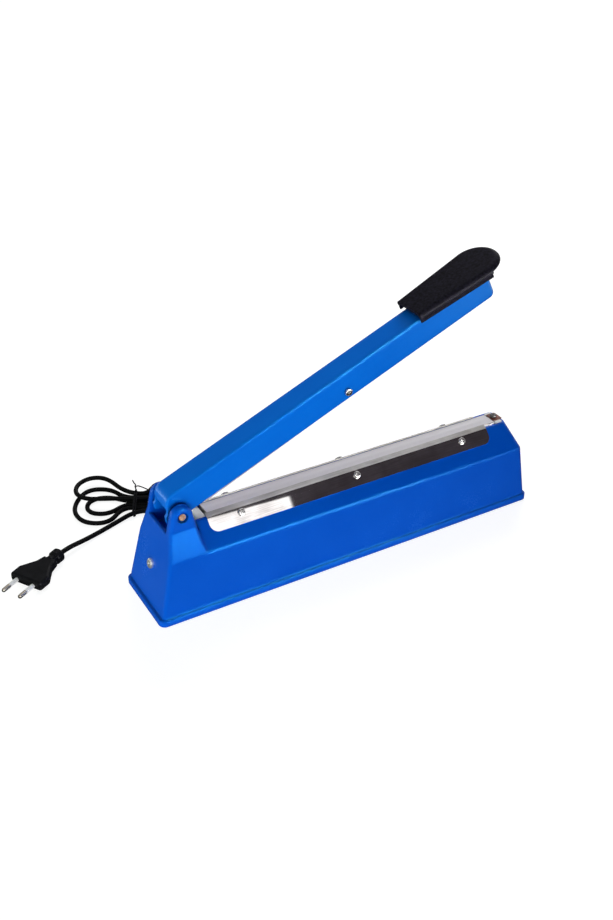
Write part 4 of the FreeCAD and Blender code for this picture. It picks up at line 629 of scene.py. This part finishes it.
def fibreWasher(look):
    fresh()
    bpy.ops.mesh.primitive_cube_add(size=1)
    washer = bpy.context.object
    washer.name = "fibre_washer"
    place = Matrix.Translation((look["middle"], 0, (look["low"] + look["high"]) / 2))
    washer.data.transform(place @ Matrix.Diagonal((look["length"], look["width"], look["high"] - look["low"], 1)))
    choose(washer, "EDGE", lambda spots: abs(spots[0].z - spots[1].z) > tiny)
    bpy.ops.mesh.bevel(offset=look["corner"], segments=look["cornerSteps"], profile=0.5, affect="EDGES")
    done()
    soften(washer, look["high"], look["edge"], look["edgeSteps"])
    return washer


dress(fibreWasher(washerLook), brownBlock, "base", "brown_block", "terminal_washer")
print("screws ready")

# Timer knob with a ribbed edge, a pointer and a printed dial
knobLook = {
    "radius": 0.012, "low": 0.0032, "height": 0.015, "ribs": 20, "facesPerRib": 3, "groove": 0.00022, "pinch": 0.94,
    "rim": 0.0012, "rimRise": 0.0006, "dish": 0.0016, "dishDrop": 0.0008, "skirt": 0.014, "skirtLow": 0.001,
    "skirtHigh": 0.0034, "skirtSides": 64, "skirtRound": 0.0009, "skirtSteps": 4, "place": mm(140, 34.968, 34),
    "lean": -84.4}
pointerLook = {
    "width": 0.0013, "length": 0.00744, "thick": 0.0006, "taper": 0.4, "out": 0.0066, "height": 0.0151, "turn": -45}
dialLook = {
    "radius": 0.0184, "numbers": 8, "size": 0.0042, "raised": 0.00006, "start": 225, "sweep": 270, "tick": 0.0153,
    "tickSize": (0.0014, 0.0005, 0.00012, 1), "tickTaper": 0.6}
knobPlace = Matrix.Translation(knobLook["place"]) @ Matrix.Rotation(math.radians(knobLook["lean"]), 4, "X")


def ribbedKnob(look):
    sides = look["ribs"] * look["facesPerRib"]
    cap = disc("timer_cap", look["radius"], look["low"], look["height"], sides)

    def inGroove(spots):
        angle = math.atan2(sum(spot.y for spot in spots), sum(spot.x for spot in spots))
        upright = abs(spots[0].z - spots[2].z) > tiny
        return upright and round(angle / math.tau * sides - 0.5) % look["facesPerRib"] == 0

    choose(cap, "FACE", inGroove)
    bpy.ops.mesh.inset(thickness=look["groove"], use_individual=True)
    bpy.ops.transform.resize(value=(look["pinch"], look["pinch"], 1))
    done()
    choose(cap, "FACE", atHeight(look["height"]))
    bpy.ops.mesh.inset(thickness=look["rim"])
    bpy.ops.transform.translate(value=(0, 0, look["rimRise"]))
    bpy.ops.mesh.inset(thickness=look["dish"])
    bpy.ops.transform.translate(value=(0, 0, -look["dishDrop"]))
    done()
    skirt = disc("timer_skirt", look["skirt"], look["skirtLow"], look["skirtHigh"], look["skirtSides"])
    soften(skirt, look["skirtHigh"], look["skirtRound"], look["skirtSteps"])
    return together("ribbed_timer_knob", [cap, skirt])


def knobPointer(look):
    fresh()
    bpy.ops.mesh.primitive_cube_add(size=1)
    pointer = bpy.context.object
    pointer.data.transform(Matrix.Diagonal((look["width"], look["length"], look["thick"], 1)))
    choose(pointer, "FACE", lambda spots: all(spot.y > 0 for spot in spots))
    bpy.ops.transform.resize(value=(look["taper"], 1, 1))
    done()
    pointer.data.transform(Matrix.Translation((0, look["out"], look["height"])))
    pointer.name = "knob_pointer"
    return pointer


def dialFigure(look, number, angle):
    fresh()
    bpy.ops.object.text_add()
    figure = bpy.context.object
    figure.data.body = str(number)
    figure.data.size = look["size"]
    figure.data.align_x = "CENTER"
    figure.data.align_y = "CENTER"
    figure.data.extrude = look["raised"]
    bpy.ops.object.convert(target="MESH")
    place = (look["radius"] * math.cos(angle), look["radius"] * math.sin(angle), 0)
    figure.data.transform(Matrix.Translation(place))
    return figure


def dialTick(look, angle):
    fresh()
    bpy.ops.mesh.primitive_cube_add(size=1)
    tick = bpy.context.object
    choose(tick, "FACE", lambda spots: all(spot.x > 0 for spot in spots))
    bpy.ops.transform.resize(value=(1, look["tickTaper"], 1))
    done()
    out = Matrix.Rotation(angle, 4, "Z") @ Matrix.Translation((look["tick"], 0, 0))
    tick.data.transform(out @ Matrix.Diagonal(look["tickSize"]))
    return tick


def dialMarks(look):
    marks = []
    for count in range(look["numbers"]):
        angle = math.radians(look["start"] - look["sweep"] * count / (look["numbers"] - 1))
        marks += [dialFigure(look, count + 1, angle), dialTick(look, angle)]
    return together("dial_numbers", marks)


timerKnob = ribbedKnob(knobLook)
timerKnob.data.transform(knobPlace)
dress(timerKnob, blackPlastic, "knob", "black_plastic", "timer_knob")
# the pointer rests on the first number, at the lower left seen from behind
pointer = knobPointer(pointerLook)
pointer.data.transform(knobPlace @ Matrix.Rotation(math.radians(pointerLook["turn"]), 4, "Z"))
dress(pointer, dialInk, "knob", "white_block")
numbers = dialMarks(dialLook)
numbers.data.transform(knobPlace @ Matrix.Rotation(math.pi, 4, "Z"))
dress(numbers, dialInk, "base", "white_block")
print("timer ready")

# Return spring with closed end coils
springLook = {
    "middle": (-157.03, -5.0), "low": 70.6, "high": 100.7, "radius": 3.8, "wire": 0.0005, "turns": 7, "points": 16,
    "steps": 2, "dead": 0.9, "closed": 0.034}


def springCoil(look):
    steps = look["turns"] * look["points"]
    rise = look["high"] - look["low"]
    spots = []
    for step in range(steps + 1):
        turn = step / look["points"]
        free = min(max((turn - look["dead"]) / (look["turns"] - 2 * look["dead"]), 0), 1)
        wound = min(turn, look["dead"]) + max(turn - look["turns"] + look["dead"], 0)
        ends = look["closed"] * wound / look["dead"]
        height = look["low"] + rise * (ends + free * (1 - 2 * look["closed"]))
        angle = math.tau * turn
        spots.append((look["middle"][0] + look["radius"] * math.cos(angle),
                      look["middle"][1] + look["radius"] * math.sin(angle), height))
    coil = lineOf("hinge_spring", spots, look["wire"])
    coil.data.resolution_u = look["steps"]
    pick(coil)
    bpy.ops.object.convert(target="MESH")
    return bpy.context.object


spring = dress(springCoil(springLook), springWire, "base", "spring_steel", "return_spring")
mm(-157.03, -5.0, 70.1)
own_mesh(spring)

# Release cloth over the ribbon
clothLook = {"across": 12, "along": 150, "thick": 0.00013, "ridge": 0.00028, "ridgeHalf": 0.0019, "drop": 0.00024}


def releaseCloth(look):
    low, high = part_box("sealing_cloth")
    fresh()
    bpy.ops.mesh.primitive_grid_add(x_subdivisions=look["along"], y_subdivisions=look["across"], size=1)
    sheet = bpy.context.object
    sheet.name = "release_cloth"
    middle = (low + high) / 2
    place = Matrix.Translation((middle.x, middle.y, low.z - look["drop"]))
    sheet.data.transform(place @ Matrix.Diagonal((high.x - low.x, high.y - low.y, 1, 1)))
    choose(sheet, "FACE", lambda spots: all(abs(spot.y - middle.y) < look["ridgeHalf"] for spot in spots))
    bpy.ops.transform.translate(value=(0, 0, look["ridge"]))
    done()
    thickness = sheet.modifiers.new("thickness", "SOLIDIFY")
    thickness.thickness = look["thick"]
    thickness.offset = 1
    pick(sheet)
    bpy.ops.object.modifier_apply(modifier="thickness")
    return sheet, (high.y - low.y, high.x - low.x)


clothSheet, clothFlat = releaseCloth(clothLook)
dress(clothSheet, cloth, "base", "cloth", "sealing_cloth")
print("spring and cloth ready")

# Wire tie round the hank: two windings and a twisted tail
tieLook = {"wire": 0.0006, "pitch": 1.5}
tieStart = [
    (-2.6, 8.6, 24.6), (-1.6, 8.2, 21.6), (0.4, 8.6, 19.0), (-1.2, 9.6, 16.4), (0.2, 9.0, 13.6), (-1.0, 7.2, 12.2),
    (-1.2, 1.0, 11.9), (-1.3, -10.2, 9.2), (-1.3, -21.6, 5.8),
]
tieRing = [
    (-20.2, 0.65), (-6, 0.65), (8.0, 0.65), (11.3, 1.2), (11.9, 3.6), (10.4, 7.6), (8.2, 10.9), (5.2, 11.7),
    (0.6, 11.7), (-4.2, 10.6), (-12.2, 8.4), (-19.4, 6.4), (-22.0, 4.9), (-22.1, 1.6),
]
tieEnd = [
    (1.2, -20.8, 6.0), (1.2, -9.2, 9.4), (1.2, 3.6, 12.2), (0.6, 8.2, 12.8), (-0.8, 9.2, 15.0), (0.6, 8.4, 17.4),
    (2.6, 7.4, 18.6), (7.0, 6.2, 17.6), (12.4, 5.0, 15.4),
]


def hankTie(look):
    winding = []
    for turn in (0, 1):
        for step, (back, height) in enumerate(tieRing):
            right = look["pitch"] * (turn + step / len(tieRing)) - look["pitch"]
            winding.append((right, back, height))
    return lineOf("hank_wire_tie", [inHank(*spot) for spot in tieStart + winding + tieEnd], look["wire"])


wireTie = hankTie(tieLook)
pick(wireTie)
bpy.ops.object.convert(target="MESH")
wireTie = dress(bpy.context.object, blackPlastic, "base", "tie_black", "cord_tie")
print("tie ready")

dress(mainsCord, cordSkin, "base", "cord_black", "cord_base_lead", "cord_hank", "cord_plug_lead")

# Floor, studio sky and lamps
floorLook = {
    "size": 12, "colour": 0.30, "white": 0.88, "whiteEdge": (0.45, 1.2), "mirrored": 0.3, "sheen": 4.0,
    "sheenEdge": (0.5, 1.5), "bounce": 1.05, "fall": 0.6, "fallEdge": (-0.1, 0.3)}


def whiteFloor(look):
    material = bpy.data.materials.new("studio_floor")
    material.use_nodes = True
    material.node_tree.nodes.clear()
    wire = Wire(material.node_tree)
    seen = wire.node("ShaderNodeLightPath", output="Is Camera Ray")
    through = wire.node("ShaderNodeLightPath", output="Is Transmission Ray")
    mirrored = wire.node("ShaderNodeLightPath", output="Is Glossy Ray")
    bounced = wire.node("ShaderNodeLightPath", output="Is Diffuse Ray")
    spot = wire.node("ShaderNodeTexCoord", output="Object")
    away = wire.node("ShaderNodeVectorMath", {"operation": "LENGTH"}, {0: spot}, 1)
    along = wire.node("ShaderNodeSeparateXYZ", sockets={"Vector": spot}, output="X")
    shown = (seen + through) * (away.step(*look["whiteEdge"]) * (1 - look["white"]) + look["white"])
    sheen = mirrored * away.step(*look["sheenEdge"]) * look["sheen"]
    bounce = bounced * (1 - along.step(*look["fallEdge"]) * look["fall"]) * look["bounce"]
    colour = mirrored.shades([look["colour"]] * 3, [look["colour"] * look["mirrored"]] * 3)
    diffuse = wire.node("ShaderNodeBsdfDiffuse", sockets={"Color": colour})
    glow = wire.node("ShaderNodeEmission", sockets={"Color": (1, 1, 1, 1), "Strength": shown + sheen + bounce})
    both = wire.node("ShaderNodeAddShader", sockets={0: diffuse, 1: glow})
    wire.node("ShaderNodeOutputMaterial", sockets={"Surface": both})
    return material


fresh()
bpy.ops.mesh.primitive_plane_add(size=floorLook["size"])
floor = bpy.context.object
floor.name = "floor"
floor.data.materials.append(whiteFloor(floorLook))

# What glossy pieces mirror: in front a white card, a dark flag round it and a low window, and behind a tall window
skyLook = {
    "sky": 0.11, "dim": 0.5, "ahead": (0.15, 0.25), "raised": (0.44, 0.5), "card": 1.65, "flag": (0.12, 0.105, 0.125),
    "beside": {"plane": (0.916, 0.270, -0.298), "edge": (-0.002, 0.002)},
    "above": {"plane": (0.037, 0.788, 0.614), "edge": (-0.0004, 0.0004)},
    "window": 34.0, "windowTop": (0.40, 0.46),
    "windowLeft": {"plane": (1, 0.1, 0), "edge": (0, 0.1)},
    "windowRight": {"plane": (1, 0.6, 0), "edge": (-0.04, 0.04)},
    "behind": (0.3, 0.5), "tall": 1.3, "tallFoot": (0.2, 0.3), "tallTop": (0.7, 0.8), "gloom": 0.75,
    "tallLeft": {"plane": (1, -0.45, 0), "edge": (-0.03, 0.03)}}
world = bpy.data.worlds.new("studio")
bpy.context.scene.world = world
world.use_nodes = True
world.node_tree.nodes.clear()
wire = Wire(world.node_tree)
seen = wire.node("ShaderNodeLightPath", output="Is Camera Ray")
shown = seen + wire.node("ShaderNodeLightPath", output="Is Transmission Ray")
mirrored = wire.node("ShaderNodeLightPath", output="Is Glossy Ray")
heading = wire.node("ShaderNodeTexCoord", output="Generated")
side = wire.node("ShaderNodeSeparateXYZ", sockets={"Vector": heading}, output="X")
front = wire.node("ShaderNodeSeparateXYZ", sockets={"Vector": heading}, output="Y")
height = wire.node("ShaderNodeSeparateXYZ", sockets={"Vector": heading}, output="Z")


def past(name):
    x, y, z = skyLook[name]["plane"]
    return (side * x + front * y + height * z).step(*skyLook[name]["edge"])


ahead = (0 - front).step(*skyLook["ahead"])
raised = height.step(*skyLook["raised"])
card = (1 - past("beside")) * (1 - past("above")) * ahead * raised
flag = ahead * raised - card
window = ahead * (1 - height.step(*skyLook["windowTop"])) * past("windowLeft") * (1 - past("windowRight"))
behind = front.step(*skyLook["behind"]) * height.step(*skyLook["tallFoot"]) * (1 - height.step(*skyLook["tallTop"]))
tall = behind * past("tallLeft")
rest = 1 - card - (behind - tall) * skyLook["gloom"]
lit = card * skyLook["card"] + window * skyLook["window"] + tall * skyLook["tall"] + rest * skyLook["dim"]
strength = shown + mirrored * lit + (1 - shown - mirrored) * skyLook["sky"]
shade = (flag * mirrored).shades((1, 1, 1), skyLook["flag"])
background = wire.node("ShaderNodeBackground", sockets={"Color": shade, "Strength": strength})
wire.node("ShaderNodeOutputWorld", sockets={"Surface": background})

lampLooks = {
    "front_lamp": {"place": (-0.55, -1.3, 0.22), "size": (0.9, 0.4), "power": 7.5},
    "left_lamp": {"place": (-1.6, -0.1, 0.5), "size": (0.7, 0.6), "power": 9.0, "tint": (0.8, 1.0, 0.75)},
    "top_lamp": {"place": (0.1, 0.3, 1.9), "size": (1.2, 1.2), "power": 3.0},
    "back_lamp": {"place": (0.9, 1.2, 1.3), "size": (0.9, 0.7), "power": 20.0},
}
lampAim = Vector((0, 0, 0.08))
for name, look in lampLooks.items():
    light = bpy.data.lights.new(name, "AREA")
    light.energy = look["power"]
    light.color = look.get("tint", (1, 1, 1))
    light.shape = "RECTANGLE"
    light.size, light.size_y = look["size"]
    lampObject = bpy.data.objects.new(name, light)
    lampObject.location = look["place"]
    lampObject.visible_glossy = False
    lampObject.rotation_euler = (lampAim - Vector(look["place"])).to_track_quat("-Z", "Y").to_euler()
    bpy.context.scene.collection.objects.link(lampObject)
print("stage ready")
